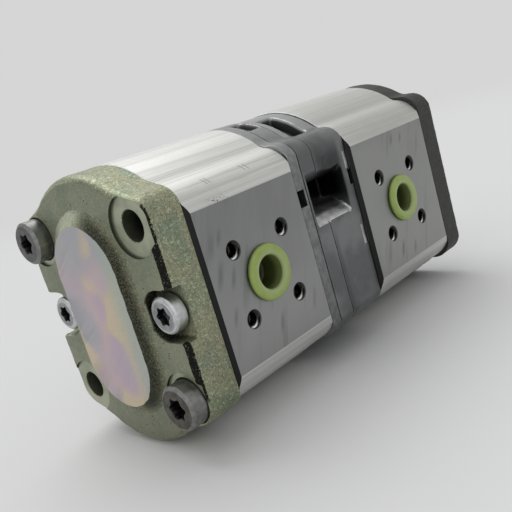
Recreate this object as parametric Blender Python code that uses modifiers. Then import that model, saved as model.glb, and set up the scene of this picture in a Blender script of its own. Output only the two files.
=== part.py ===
"""Tandem gear pump: two external gear pumps in line on one drive shaft, clamped behind one mounting flange.

Metres, +Z up. X runs along the shafts. The mounting face lies in the plane X = 0, with the spigot and the shaft
end on its +X side and the rear cover at the -X end. Y = 0, Z = 0 is the centre of the square of bolt holes, and
the drive shaft lies above it. The outlets face -Y and the inlets +Y.
"""
import math
from collections import namedtuple

import bmesh
import bpy
from mathutils import Matrix, Vector

MM = 0.001

# Fits
SEAT_GAP = 0.3 * MM
OVERCUT = 3.0 * MM

# Cross-section shared by the housings
HOLE_SPACING = 60.0 * MM
HOLE_TO_FLAT = 9.9 * MM
CROWN_HEIGHT = 50.0 * MM
ARCH_RADIUS = 40.0 * MM
BODY_LOBE_RADIUS = 13.2 * MM
BODY_LOBE_INSET_Y = 3.0 * MM
BODY_LOBE_INSET_Z = 4.5 * MM
CAST_LOBE_RADIUS = 9.7 * MM
MIDDLE_LOBE_RADIUS = 9.1 * MM
COVER_INSET = 1.1 * MM
MIDDLE_INSET = 1.4 * MM
FLANGE_INSET = 0.7 * MM
BLEND_RADIUS = 8.0 * MM

# Lengths along the shafts
FLANGE_THICKNESS = 12.5 * MM
FRONT_BODY_LENGTH = 58.6 * MM
MIDDLE_LENGTH = 29.2 * MM
PLATE_THICKNESS = 5.5 * MM
REAR_BODY_LENGTH = 53.3 * MM
COVER_THICKNESS = 14.4 * MM
END_CHAMFER = 1.4 * MM
COVER_EDGE_ROUNDING = 1.5 * MM

# Gears
GEAR_SPACING = 34.0 * MM
GEAR_TEETH = 12
PRESSURE_ANGLE = math.radians(20.0)
GEAR_TIP_RADIUS = 19.2 * MM
GEAR_ROOT_RADIUS = 13.8 * MM
GEAR_BACKLASH = 0.3 * MM
JOURNAL_RADIUS = 8.8 * MM
BUSH_WALL = 1.6 * MM
REAR_STAGE_BLOCKS = (16.8 * MM, 16.4 * MM)
FRONT_STAGE_BLOCKS = (15.6 * MM, 17.6 * MM)
BLOCK_SEAL_RADIUS = 1.0 * MM
BLOCK_SEAL_TRACK = 14.6 * MM

# Drive line
SPIGOT_RADIUS = 25.0 * MM
SPIGOT_HEIGHT = 7.0 * MM
SHAFT_PROJECTION = 8.0 * MM
TANG_THICKNESS = 8.0 * MM
TANG_LENGTH = 6.0 * MM
COUPLING_RADIUS = 11.6 * MM
COUPLING_LENGTH = 20.0 * MM
SHAFT_SEAL_RADIUS = 14.0 * MM
SHAFT_SEAL_LENGTH = 6.0 * MM
CIRCLIP_THICKNESS = 1.2 * MM
CIRCLIP_WIDTH = 2.6 * MM
CIRCLIP_INSET = 1.0 * MM
CIRCLIP_GROOVE = 0.7 * MM
PILOT_RING_RADIUS = 1.5 * MM
INNER_SEAL_RADIUS = 14.5 * MM
INNER_SEAL_LENGTH = 4.5 * MM
JOURNAL_RELIEF = 3.0 * MM
JOURNAL_OVERRUN = 1.5 * MM

# Joint seals and dowels
JOINT_SEAL_RADIUS = 1.1 * MM
JOINT_SEAL_WALL = 4.2 * MM
DOWEL_RADIUS = 2.5 * MM
DOWEL_LENGTH = 8.0 * MM
DOWEL_FROM_HOLE_Y = 3.0 * MM
DOWEL_FROM_HOLE_Z = 13.0 * MM

# Long bolts, cover screws and their seats
BOLT_RADIUS = 5.0 * MM
BOLT_HEAD_RADIUS = 8.0 * MM
BOLT_HEAD_HEIGHT = 10.0 * MM
BOLT_SEAT_DEPTH = 5.1 * MM
BOLT_END_COVER = 2.5 * MM
SPOT_FACE_RADIUS = 10.5 * MM
SPOT_FACE_DEPTH = 1.0 * MM
SCREW_RADIUS = 4.0 * MM
SCREW_HEAD_RADIUS = 6.5 * MM
SCREW_HEAD_HEIGHT = 5.0 * MM
SCREW_GRIP = 19.0 * MM
SCREW_FROM_HOLE_Y = 1.2 * MM
POCKET_RADIUS = 8.7 * MM
POCKET_DEPTH = 5.6 * MM
HEAD_CHAMFER = 0.8 * MM
SOCKET_SHARE = 0.56
SOCKET_DEPTH_SHARE = 0.55

# Rear cover boss
BOSS_RADIUS = 17.8 * MM
BOSS_HALF_HEIGHT = 33.4 * MM
BOSS_RISE = 3.2 * MM
BOSS_FLANK = 3.8 * MM

# Ports
PORT_DROP = 0.9 * MM
OUTLET_RADIUS = 7.8 * MM
OUTLET_PITCH_CIRCLE = 35.0 * MM
INLET_RADIUS = 10.0 * MM
INLET_PITCH_CIRCLE = 40.0 * MM
PORT_SCREW_RADIUS = 3.0 * MM
PORT_SCREW_DEPTH = 13.0 * MM
PORT_SCREW_CHAMFER = 0.6 * MM
PORT_END_Y = 8.0 * MM
PLUG_RIM_OVERLAP = 2.2 * MM
PLUG_RIM_THICKNESS = 1.9 * MM
PLUG_WALL = 1.5 * MM
PLUG_DEPTH = 10.0 * MM

# Middle casting
MIDDLE_STEP_LENGTH = 8.6 * MM
MIDDLE_STEP = 0.5 * MM
POCKET_REAR_WALL = 1.6 * MM
POCKET_FRONT_WALL = 4.6 * MM
POCKET_DEPTH_Y = 14.5 * MM
POCKET_SILL_Z = 3.6 * MM
POCKET_SILL_RISE = 6.8 * MM
POCKET_CORNER = 1.6 * MM
FRONT_WINDOW_WALL = 12.8 * MM
FRONT_WINDOW_LENGTH = 9.0 * MM
FRONT_WINDOW_DEPTH = 6.0 * MM
FRONT_WINDOW_ANGLES = (math.radians(16.0), math.radians(44.0))
REAR_WINDOW_WALL = 1.2 * MM
REAR_WINDOW_DEPTH = 4.0 * MM
REAR_WINDOW_ANGLES = (math.radians(8.0), math.radians(26.0))
WINDOW_RIB = 5.0 * MM
WEEP_SLOT_HEIGHT = 6.4 * MM
WEEP_SLOT_DEPTH = 4.2 * MM
WEEP_SLOT_HEAD_DEPTH = 1.6 * MM
WEEP_SLOT_LENGTH = 11.5 * MM

# Facets of the round shapes
ARC_STEPS = 4
TWIN_BORE_STEPS = 16
FLANK_STEPS = 2
BORE_SEGMENTS = 20
HOLE_SEGMENTS = 16
SMALL_SEGMENTS = 8
SPIGOT_SEGMENTS = 32
SOCKET_POINTS = 18
SMOOTH_BELOW = math.radians(30.0)

# Planes and places worked out from the sizes
HOLE_OFFSET = HOLE_SPACING / 2
BODY_HALF_WIDTH = HOLE_OFFSET + HOLE_TO_FLAT
COVER_HALF_WIDTH = BODY_HALF_WIDTH - COVER_INSET
MIDDLE_HALF_WIDTH = BODY_HALF_WIDTH - MIDDLE_INSET
FLANGE_HALF_WIDTH = BODY_HALF_WIDTH - FLANGE_INSET
BODY_LOBE_Y = HOLE_OFFSET - BODY_LOBE_INSET_Y
BODY_LOBE_Z = HOLE_OFFSET - BODY_LOBE_INSET_Z
DOWEL_Y = HOLE_OFFSET + DOWEL_FROM_HOLE_Y
DOWEL_Z = HOLE_OFFSET - DOWEL_FROM_HOLE_Z
SCREW_Y = HOLE_OFFSET + SCREW_FROM_HOLE_Y
SHAFT_Z = GEAR_SPACING / 2
BORE_RADIUS = GEAR_TIP_RADIUS + SEAT_GAP
BLOCK_RADIUS = BORE_RADIUS - SEAT_GAP
BUSH_INNER = JOURNAL_RADIUS + SEAT_GAP
BUSH_OUTER = BUSH_INNER + BUSH_WALL
BLOCK_BORE = BUSH_OUTER + SEAT_GAP
BOLT_HOLE_RADIUS = BOLT_RADIUS + SEAT_GAP
SCREW_HOLE_RADIUS = SCREW_RADIUS + SEAT_GAP
SHAFT_HOLE_RADIUS = JOURNAL_RADIUS + SEAT_GAP
X_FLANGE = -FLANGE_THICKNESS
X_FRONT_BODY = X_FLANGE - FRONT_BODY_LENGTH
X_MIDDLE = X_FRONT_BODY - MIDDLE_LENGTH
X_PLATE = X_MIDDLE - PLATE_THICKNESS
X_REAR_BODY = X_PLATE - REAR_BODY_LENGTH
X_COVER = X_REAR_BODY - COVER_THICKNESS
X_COUPLING = (X_PLATE + X_FRONT_BODY) / 2
PORT_Z = -PORT_DROP

Section = namedtuple("Section", "half_width lobe_y lobe_z lobe_radius flat_cuts_lobe shrink")
Stage = namedtuple("Stage", "name back front back_block front_block")

BODY_SECTION = Section(BODY_HALF_WIDTH, BODY_LOBE_Y, BODY_LOBE_Z, BODY_LOBE_RADIUS, True, 0.0)
COVER_SECTION = Section(COVER_HALF_WIDTH, HOLE_OFFSET, HOLE_OFFSET, CAST_LOBE_RADIUS, True, 0.0)
MIDDLE_SECTION = Section(MIDDLE_HALF_WIDTH, HOLE_OFFSET, HOLE_OFFSET, MIDDLE_LOBE_RADIUS, True, 0.0)
STEPPED_SECTION = MIDDLE_SECTION._replace(shrink=MIDDLE_STEP)
FLANGE_SECTION = Section(FLANGE_HALF_WIDTH, HOLE_OFFSET, HOLE_OFFSET, CAST_LOBE_RADIUS, True, 0.0)

REAR_STAGE = Stage("rear", X_REAR_BODY, X_PLATE, *REAR_STAGE_BLOCKS)
FRONT_STAGE = Stage("front", X_FRONT_BODY, X_FLANGE, *FRONT_STAGE_BLOCKS)
STAGES = (REAR_STAGE, FRONT_STAGE)

# An object's local X, Y, Z turned onto world Y, Z, X: outlines are drawn in the YZ plane and pulled along X
ALONG_X = Matrix(((0, 0, 1, 0), (1, 0, 0, 0), (0, 1, 0, 0), (0, 0, 0, 1)))
FACING_MINUS_Y = Matrix.Rotation(math.pi / 2, 4, "X")
FACING_PLUS_Y = Matrix.Rotation(-math.pi / 2, 4, "X")


def clear_scene():
    for old in list(bpy.data.objects):
        bpy.data.objects.remove(old, do_unlink=True)


def new_collection(name):
    collection = bpy.data.collections.new(name)
    bpy.context.scene.collection.children.link(collection)
    return collection


def new_material(name, color, roughness, metallic):
    material = bpy.data.materials.new(name)
    material.use_nodes = True
    shader = material.node_tree.nodes["Principled BSDF"]
    shader.inputs["Base Color"].default_value = (*color, 1.0)
    shader.inputs["Roughness"].default_value = roughness
    shader.inputs["Metallic"].default_value = metallic
    return material


clear_scene()
PUMP = new_collection("tandem_gear_pump")
TOOLS = new_collection("pump_cutters")
ZINC_IRON = new_material("zinc_plated_iron", (0.42, 0.44, 0.32), 0.45, 0.8)
EXTRUDED = new_material("extruded_aluminium", (0.62, 0.62, 0.60), 0.35, 0.9)
DIE_CAST = new_material("die_cast_aluminium", (0.36, 0.36, 0.37), 0.45, 0.9)
DARK_IRON = new_material("dark_cast_iron", (0.075, 0.08, 0.075), 0.6, 0.5)
STEEL = new_material("ground_steel", (0.55, 0.55, 0.56), 0.25, 1.0)
BOLT_STEEL = new_material("plated_bolt_steel", (0.30, 0.31, 0.32), 0.4, 0.9)
BEARING = new_material("bearing_aluminium", (0.58, 0.57, 0.55), 0.35, 0.9)
BRONZE = new_material("lead_bronze", (0.45, 0.33, 0.20), 0.35, 0.9)
RUBBER = new_material("black_rubber", (0.02, 0.02, 0.02), 0.7, 0.0)
LIME = new_material("lime_plastic", (0.50, 0.72, 0.18), 0.4, 0.0)


def add_object(name, mesh, place, collection, material=None):
    obj = bpy.data.objects.new(name, mesh)
    collection.objects.link(obj)
    obj.matrix_world = place
    mesh.shade_smooth()
    mesh.set_sharp_from_angle(angle=SMOOTH_BELOW)
    if material:
        mesh.materials.append(material)
    if collection is TOOLS:
        obj.hide_render = True
        obj.display_type = "WIRE"
    return obj


def shape_of(carrier):
    """The mesh that a carrier object makes, taken over from it. The carrier goes."""
    bpy.context.view_layer.update()
    mesh = bpy.data.meshes.new_from_object(carrier.evaluated_get(bpy.context.evaluated_depsgraph_get()))
    source = carrier.data
    bpy.data.objects.remove(carrier)
    bpy.data.batch_remove([source])
    return mesh


def welded_shape(carrier):
    """The mesh of a curve object, with its loose caps welded and its flat faces merged."""
    mesh = shape_of(carrier)
    shape = bmesh.new()
    shape.from_mesh(mesh)
    bmesh.ops.remove_doubles(shape, verts=shape.verts, dist=0.001 * MM)
    bmesh.ops.dissolve_limit(shape, angle_limit=0.001, verts=shape.verts, edges=shape.edges, delimit={"SHARP"})
    bmesh.ops.recalc_face_normals(shape, faces=shape.faces)
    shape.to_mesh(mesh)
    shape.free()
    return mesh


def pulled(name, outlines, x_low, x_high, material=None, centre=(0.0, 0.0), collection=None):
    """Solid between two X planes. The first outline of (y, z) points is its edge, and the others are holes."""
    curve = bpy.data.curves.new(name, "CURVE")
    curve.dimensions = "2D"
    curve.fill_mode = "BOTH"
    curve.extrude = (x_high - x_low) / 2
    for outline in outlines:
        spline = curve.splines.new("POLY")
        spline.points.add(len(outline) - 1)
        spline.use_cyclic_u = True
        for point, (y, z) in zip(spline.points, outline):
            point.co = (y - centre[0], z - centre[1], 0.0, 1.0)
    carrier = bpy.data.objects.new(name + "_outline", curve)
    TOOLS.objects.link(carrier)
    place = Matrix.Translation(((x_low + x_high) / 2, centre[0], centre[1])) @ ALONG_X
    return add_object(name, welded_shape(carrier), place, collection or PUMP, material)


def pulled_cutter(name, outlines, x_low, x_high):
    return pulled(name, outlines, x_low, x_high, collection=TOOLS)


def turned(name, profile, place, material=None, segments=BORE_SEGMENTS, collection=None):
    """Body of revolution. The profile's (radius, height) points run down its outer side, top to bottom."""
    outline = bpy.data.meshes.new(name + "_profile")
    count = len(profile)
    edges = [(i, (i + 1) % count) for i in range(count) if profile[i][0] or profile[(i + 1) % count][0]]
    outline.from_pydata([(radius, 0.0, height) for radius, height in profile], edges, [])
    carrier = bpy.data.objects.new(name + "_profile", outline)
    TOOLS.objects.link(carrier)
    screw = carrier.modifiers.new("turn", "SCREW")
    screw.steps = segments
    screw.render_steps = segments
    screw.use_merge_vertices = True
    screw.merge_threshold = 0.001 * MM
    return add_object(name, shape_of(carrier), place, collection or PUMP, material)


def skin(shape, rings):
    """Closes a solid over rings of points that follow one another."""
    loops = [[shape.verts.new(point) for point in ring] for ring in rings]
    for low, high in zip(loops, loops[1:]):
        for i in range(len(low)):
            j = (i + 1) % len(low)
            shape.faces.new((low[i], low[j], high[j], high[i]))
    shape.faces.new(loops[0][::-1])
    shape.faces.new(loops[-1])


def lofted(name, slices, material=None, collection=None):
    """Solid through (x, outline) slices whose outlines have the same number of points."""
    mesh = bpy.data.meshes.new(name)
    shape = bmesh.new()
    skin(shape, [[(x, y, z) for y, z in outline] for x, outline in slices])
    bmesh.ops.recalc_face_normals(shape, faces=shape.faces)
    shape.to_mesh(mesh)
    shape.free()
    return add_object(name, mesh, Matrix.Identity(4), collection or PUMP, material)


def slab(section, x_low, x_high):
    """Slices of a plain block between two joint planes."""
    return [(x_low, section_outline(section)), (x_high, section_outline(section))]


def drill(name, places, profile, segments=HOLE_SEGMENTS):
    """Stepped cutter at each place. Its (radius, depth) profile runs inwards along the place's local Z."""
    mesh = bpy.data.meshes.new(name)
    shape = bmesh.new()
    for place in places:
        rings = [[place @ Vector((*point, depth)) for point in circle(0.0, 0.0, radius, segments)]
                 for radius, depth in profile]
        skin(shape, rings)
    bmesh.ops.recalc_face_normals(shape, faces=shape.faces)
    shape.to_mesh(mesh)
    shape.free()
    return add_object(name, mesh, Matrix.Identity(4), TOOLS)


def box_cutter(name, low, high):
    mesh = bpy.data.meshes.new(name)
    shape = bmesh.new()
    bmesh.ops.create_cube(shape, size=1.0)
    size = [high[i] - low[i] for i in range(3)]
    middle = [(high[i] + low[i]) / 2 for i in range(3)]
    bmesh.ops.scale(shape, vec=size, verts=shape.verts)
    shape.to_mesh(mesh)
    shape.free()
    return add_object(name, mesh, Matrix.Translation(middle), TOOLS)


def gathered(name, parts):
    """One cutter made of several that lie apart from each other."""
    bpy.context.view_layer.update()
    depsgraph = bpy.context.evaluated_depsgraph_get()
    shape = bmesh.new()
    for piece in parts:
        mesh = bpy.data.meshes.new_from_object(piece.evaluated_get(depsgraph))
        mesh.transform(piece.matrix_world)
        shape.from_mesh(mesh)
        bpy.data.meshes.remove(mesh)
    for piece in parts:
        bpy.data.objects.remove(piece)
    mesh = bpy.data.meshes.new(name)
    shape.to_mesh(mesh)
    shape.free()
    return add_object(name, mesh, Matrix.Identity(4), TOOLS)


def boolean(target, other, operation):
    modifier = target.modifiers.new(other.name, "BOOLEAN")
    modifier.operation = operation
    modifier.solver = "EXACT"
    modifier.object = other


def carve(target, *cutters):
    boolean(target, gathered(f"{target.name}_cut", cutters), "DIFFERENCE")


def fuse(target, addition):
    boolean(target, addition, "UNION")


def bevel_by_angle(obj, width, segments=1):
    bevel = obj.modifiers.new("edges", "BEVEL")
    bevel.width = width
    bevel.segments = segments
    bevel.limit_method = "ANGLE"
    bevel.angle_limit = math.radians(40.0)


def facing(direction, x, y, z):
    """Place whose local Z runs along a direction: +X, -X, -Y or +Y."""
    turn = {
        "+X": ALONG_X,
        "-X": Matrix.Rotation(math.pi, 4, "Z") @ ALONG_X,
        "-Y": FACING_MINUS_Y,
        "+Y": FACING_PLUS_Y,
    }[direction]
    return Matrix.Translation((x, y, z)) @ turn


def arc(centre, radius, start, end, steps=ARC_STEPS):
    """Points on an arc of the YZ plane, ends included, with angles counted from +Y towards +Z."""
    angles = [start + (end - start) * i / steps for i in range(steps + 1)]
    return [(centre[0] + radius * math.cos(a), centre[1] + radius * math.sin(a)) for a in angles]


def circle(y, z, radius, segments=HOLE_SEGMENTS):
    return arc((y, z), radius, 0.0, 2 * math.pi * (1 - 1 / segments), segments - 1)


def angle_towards(start, end):
    return math.atan2(end[1] - start[1], end[0] - start[0])


def section_outline(section):
    """Housing outline: an arch, a hollow blend and a bolt lobe in each quarter, with flats between the lobes."""
    arch_radius = ARCH_RADIUS - section.shrink
    lobe_radius = section.lobe_radius - section.shrink
    half_width = section.half_width - section.shrink
    arch = (0.0, CROWN_HEIGHT - ARCH_RADIUS)
    lobe = (section.lobe_y, section.lobe_z)
    distance = math.dist(arch, lobe)
    to_arch = arch_radius + BLEND_RADIUS
    to_lobe = lobe_radius + BLEND_RADIUS
    along = (to_arch ** 2 - to_lobe ** 2 + distance ** 2) / (2 * distance)
    aside = math.sqrt(to_arch ** 2 - along ** 2)
    unit = ((lobe[0] - arch[0]) / distance, (lobe[1] - arch[1]) / distance)
    blend = (arch[0] + along * unit[0] - aside * unit[1], arch[1] + along * unit[1] + aside * unit[0])
    flat_angle = math.acos(min(1.0, (half_width - lobe[0]) / lobe_radius))
    last = flat_angle if section.flat_cuts_lobe else -flat_angle
    quarter = arc(arch, arch_radius, math.pi / 2, angle_towards(arch, blend))
    quarter += arc(blend, BLEND_RADIUS, angle_towards(blend, arch), angle_towards(blend, lobe), 3)[1:]
    quarter += arc(lobe, lobe_radius, angle_towards(lobe, blend), last)[1:]
    right = quarter + [(y, -z) for y, z in reversed(quarter)]
    left = [(-y, z) for y, z in reversed(right)]
    return right + left[1:-1]


def twin_bore_outline(radius):
    """Outline of two overlapping circles about the shafts."""
    waist = math.asin(SHAFT_Z / radius)
    upper = arc((0.0, SHAFT_Z), radius, -waist, math.pi + waist, TWIN_BORE_STEPS)
    lower = arc((0.0, -SHAFT_Z), radius, math.pi - waist, 2 * math.pi + waist, TWIN_BORE_STEPS)
    return upper + lower[1:-1]


def gear_chamber():
    """Twin bore drawn so that the middles of its facets, too, clear the gears."""
    facet = (math.pi + 2 * math.asin(SHAFT_Z / BORE_RADIUS)) / TWIN_BORE_STEPS
    return twin_bore_outline(BORE_RADIUS / math.cos(facet / 2))


def racetrack(radius, half_height, steps=8):
    """Outline of two half circles joined by straight sides."""
    rise = half_height - radius
    return arc((0.0, rise), radius, 0.0, math.pi, steps) + arc((0.0, -rise), radius, math.pi, 2 * math.pi, steps)


def hole_positions():
    return [(y, z) for y in (-HOLE_OFFSET, HOLE_OFFSET) for z in (-HOLE_OFFSET, HOLE_OFFSET)]


def bolt_positions():
    return [("right", -HOLE_OFFSET, -HOLE_OFFSET), ("left", HOLE_OFFSET, HOLE_OFFSET)]


def bolt_holes(name, x_low, x_high):
    """Cutter for the four long bolt holes of a slice."""
    places = [facing("+X", x_low, y, z) for y, z in hole_positions()]
    return drill(name + "_bolt_holes", places,
                 [(BOLT_HOLE_RADIUS, -OVERCUT), (BOLT_HOLE_RADIUS, x_high - x_low + OVERCUT)])


def groove_depth():
    return 2 * JOINT_SEAL_RADIUS + SEAT_GAP


def seal_groove(name, face_x, inward):
    """Ring groove around both bores, from a face at X into the piece."""
    track = BORE_RADIUS + JOINT_SEAL_WALL
    half_width = JOINT_SEAL_RADIUS + SEAT_GAP
    rings = [racetrack(track + side * half_width, SHAFT_Z + track + side * half_width) for side in (1, -1)]
    ends = sorted((face_x - inward * OVERCUT, face_x + inward * groove_depth()))
    return pulled_cutter(name, rings, *ends)


def joint_seal(name, face_x, inward):
    """Round section seal that follows the racetrack around both bores."""
    track = BORE_RADIUS + JOINT_SEAL_WALL
    x = face_x + inward * groove_depth() / 2
    path = [(x, y, z) for y, z in racetrack(track, SHAFT_Z + track)]
    return tube(name, path, JOINT_SEAL_RADIUS, RUBBER, cyclic=True)


def tube(name, path, radius, material, cyclic=False):
    curve = bpy.data.curves.new(name, "CURVE")
    curve.dimensions = "3D"
    curve.bevel_depth = radius
    curve.bevel_resolution = 0
    curve.use_fill_caps = True
    spline = curve.splines.new("POLY")
    spline.points.add(len(path) - 1)
    spline.use_cyclic_u = cyclic
    for point, co in zip(spline.points, path):
        point.co = (*co, 1.0)
    carrier = bpy.data.objects.new(name + "_path", curve)
    TOOLS.objects.link(carrier)
    return add_object(name, welded_shape(carrier), Matrix.Identity(4), PUMP, material)


def end_chamfers(name, x, inward):
    """Cutters for the milled chamfer along both flats at one end of a body."""
    half = OVERCUT * 4
    cutters = []
    for side in (-1, 1):
        tip = Vector((x, side * (BODY_HALF_WIDTH - END_CHAMFER), 0.0))
        outward = Vector((-inward, side, 0.0)).normalized()
        turn = Matrix.Rotation(math.atan2(outward.y, outward.x), 4, "Z")
        cutter = box_cutter(f"{name}_{side}", (0.0, -half, -CROWN_HEIGHT), (half, half, CROWN_HEIGHT))
        cutter.matrix_world = Matrix.Translation(tip) @ turn @ Matrix.Translation((half / 2, 0.0, 0.0))
        cutters.append(cutter)
    return cutters


def gear_centre(stage):
    """Middle of the gears of a stage, set by the two bearing blocks."""
    return (stage.back + stage.back_block + stage.front - stage.front_block) / 2


def gear_faces(stage):
    low = stage.back + stage.back_block + 2 * SEAT_GAP
    high = stage.front - stage.front_block - 2 * SEAT_GAP
    return low, high


def port_screw_places(side, x, y, pitch_circle):
    offset = pitch_circle / 2 * math.cos(math.pi / 4)
    return [facing(side, x + i * offset, y, PORT_Z + j * offset) for i in (-1, 1) for j in (-1, 1)]


def port_cutters(stage, outward, radius, pitch_circle):
    """Port bore from a milled face into the gear chamber, with its four chamfered screw holes."""
    inward, sign = ("+Y", -1) if outward == "-Y" else ("-Y", 1)
    x = gear_centre(stage)
    face = sign * BODY_HALF_WIDTH
    label = f"{stage.name}_{'outlet' if sign < 0 else 'inlet'}"
    chamfer = PORT_SCREW_CHAMFER
    mouth = PORT_SCREW_RADIUS + 2 * chamfer
    return [
        drill(f"{label}_bore", [facing(inward, x, face, PORT_Z)],
              [(radius, -OVERCUT), (radius, BODY_HALF_WIDTH - PORT_END_Y)], BORE_SEGMENTS),
        drill(f"{label}_screw_holes", port_screw_places(inward, x, face, pitch_circle),
              [(mouth, -chamfer), (PORT_SCREW_RADIUS, chamfer), (PORT_SCREW_RADIUS, PORT_SCREW_DEPTH)],
              SMALL_SEGMENTS),
    ]


def build_body(stage):
    """Extruded gear housing with milled port faces."""
    name = f"{stage.name}_body"
    outlines = [section_outline(BODY_SECTION), gear_chamber()]
    outlines += [circle(y, z, BOLT_HOLE_RADIUS) for y, z in hole_positions()]
    body = pulled(name, outlines, stage.back + SEAT_GAP, stage.front, EXTRUDED)
    cutters = end_chamfers(f"{name}_rear_chamfer", stage.back + SEAT_GAP, 1)
    cutters += end_chamfers(f"{name}_front_chamfer", stage.front, -1)
    cutters += port_cutters(stage, "-Y", OUTLET_RADIUS, OUTLET_PITCH_CIRCLE)
    cutters += port_cutters(stage, "+Y", INLET_RADIUS, INLET_PITCH_CIRCLE)
    cutters += [dowel_holes(name + "_rear", stage.back), dowel_holes(name + "_front", stage.front)]
    if stage is REAR_STAGE:
        places = [facing("+X", stage.back, side * SCREW_Y, 0.0) for side in (-1, 1)]
        depth = SCREW_GRIP - (COVER_THICKNESS - POCKET_DEPTH) + MM
        cutters.append(drill("cover_screw_threads", places,
                             [(SCREW_HOLE_RADIUS, -OVERCUT), (SCREW_HOLE_RADIUS, depth)]))
    carve(body, *cutters)
    return body


def dowel_places(x):
    """Two dowels of a joint, one at each side of the idler gear."""
    return [facing("+X", x, side * DOWEL_Y, -DOWEL_Z) for side in (-1, 1)]


def dowel_holes(name, x):
    radius = DOWEL_RADIUS + SEAT_GAP
    return drill(name + "_dowel_holes", dowel_places(x), [(radius, -DOWEL_LENGTH / 2), (radius, DOWEL_LENGTH / 2)],
                 SMALL_SEGMENTS)


def build_dowels(label, x):
    half = DOWEL_LENGTH / 2 - SEAT_GAP
    profile = [(0.0, half), (DOWEL_RADIUS, half), (DOWEL_RADIUS, -half), (0.0, -half)]
    for side, place in zip(("right", "left"), dowel_places(x)):
        turned(f"{label}_dowel_{side}", profile, place, STEEL, SMALL_SEGMENTS)


def build_rear_cover():
    """Thick cast cover with an oval boss, spot-faced bolt holes and two side pockets for the cover screws."""
    outline = section_outline(COVER_SECTION)
    slices = [(X_REAR_BODY, outline)]
    for step in range(3):
        angle = step * math.pi / 4
        inset = COVER_EDGE_ROUNDING * (1 - math.cos(angle))
        height = COVER_EDGE_ROUNDING * (1 - math.sin(angle))
        slices.append((X_COVER + height, section_outline(COVER_SECTION._replace(shrink=inset))))
    cover = lofted("rear_cover", slices, ZINC_IRON)
    fuse(cover, boss_solid())
    clear = BOSS_RISE + OVERCUT
    spot = SPOT_FACE_RADIUS
    seat = BOLT_HEAD_RADIUS + SEAT_GAP
    hole = BOLT_HOLE_RADIUS
    far = COVER_THICKNESS + OVERCUT
    bolted = [(y, z) for label, y, z in bolt_positions()]
    seated = [facing("+X", X_COVER, y, z) for y, z in bolted]
    open_holes = [facing("+X", X_COVER, y, z) for y, z in hole_positions() if (y, z) not in bolted]
    carve(
        cover,
        drill("open_holes", open_holes,
              [(spot, -clear), (spot, SPOT_FACE_DEPTH), (hole, SPOT_FACE_DEPTH), (hole, far)]),
        drill("bolt_seats", seated,
              [(spot, -clear), (spot, SPOT_FACE_DEPTH), (seat, SPOT_FACE_DEPTH), (seat, BOLT_SEAT_DEPTH),
               (hole, BOLT_SEAT_DEPTH), (hole, far)]),
        pocket_cutter(-1),
        pocket_cutter(1),
        drill("journal_reliefs", [facing("-X", X_REAR_BODY, 0.0, side * SHAFT_Z) for side in (-1, 1)],
              [(SHAFT_HOLE_RADIUS, -OVERCUT), (SHAFT_HOLE_RADIUS, JOURNAL_RELIEF)]),
        seal_groove("cover_seal_groove", X_REAR_BODY, -1),
        dowel_holes("rear_cover", X_REAR_BODY),
    )
    screw_places = [facing("+X", X_COVER, side * SCREW_Y, 0.0) for side in (-1, 1)]
    carve(cover, drill("cover_screw_holes", screw_places, [(SCREW_HOLE_RADIUS, 0.0), (SCREW_HOLE_RADIUS, far)]))
    return cover


def boss_solid():
    """Oval boss with sloping flanks, its foot sunk in the cover."""
    slope = BOSS_FLANK / BOSS_RISE
    foot_flank = BOSS_FLANK + slope * MM
    return lofted(
        "boss",
        [
            (X_COVER + MM, racetrack(BOSS_RADIUS + foot_flank, BOSS_HALF_HEIGHT + foot_flank)),
            (X_COVER - BOSS_RISE, racetrack(BOSS_RADIUS, BOSS_HALF_HEIGHT)),
        ],
        collection=TOOLS,
    )


def pocket_cutter(side):
    """Pocket for a cover screw, round at its inner end and open at the side of the cover."""
    round_end = arc((SCREW_Y, 0.0), POCKET_RADIUS, math.pi / 2, 3 * math.pi / 2, 8)
    edge = COVER_HALF_WIDTH + OVERCUT
    outline = [(side * y, z) for y, z in [(edge, POCKET_RADIUS), *round_end, (edge, -POCKET_RADIUS)]]
    return pulled_cutter(f"screw_pocket_{side}", [outline], X_COVER - BOSS_RISE - OVERCUT, X_COVER + POCKET_DEPTH)


def weep_slot(name, x_low, x_high):
    """Notch in the outlet side of a joint face, level with the drive shaft."""
    half = WEEP_SLOT_HEIGHT / 2
    return box_cutter(name, (x_low, -MIDDLE_HALF_WIDTH - OVERCUT, SHAFT_Z - half),
                      (x_high, -MIDDLE_HALF_WIDTH + WEEP_SLOT_LENGTH, SHAFT_Z + half))


def build_adapter_plate():
    """Thin plate between the rear body and the middle casting, with a bore for the shaft and its seal."""
    plate = lofted("adapter_plate", slab(MIDDLE_SECTION, X_PLATE + SEAT_GAP, X_MIDDLE), DIE_CAST)
    seat = INNER_SEAL_RADIUS + SEAT_GAP
    bore = COUPLING_RADIUS + SEAT_GAP
    carve(
        plate,
        bolt_holes("plate", X_PLATE, X_MIDDLE),
        drill("plate_bore", [facing("+X", X_PLATE, 0.0, SHAFT_Z)],
              [(seat, -OVERCUT), (seat, INNER_SEAL_LENGTH), (bore, INNER_SEAL_LENGTH),
               (bore, PLATE_THICKNESS + OVERCUT)], BORE_SEGMENTS),
        weep_slot("plate_weep_slot", X_PLATE - OVERCUT, X_PLATE + WEEP_SLOT_DEPTH),
        seal_groove("plate_seal_groove", X_PLATE + SEAT_GAP, 1),
        dowel_holes("adapter_plate", X_PLATE),
    )
    return plate


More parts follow.
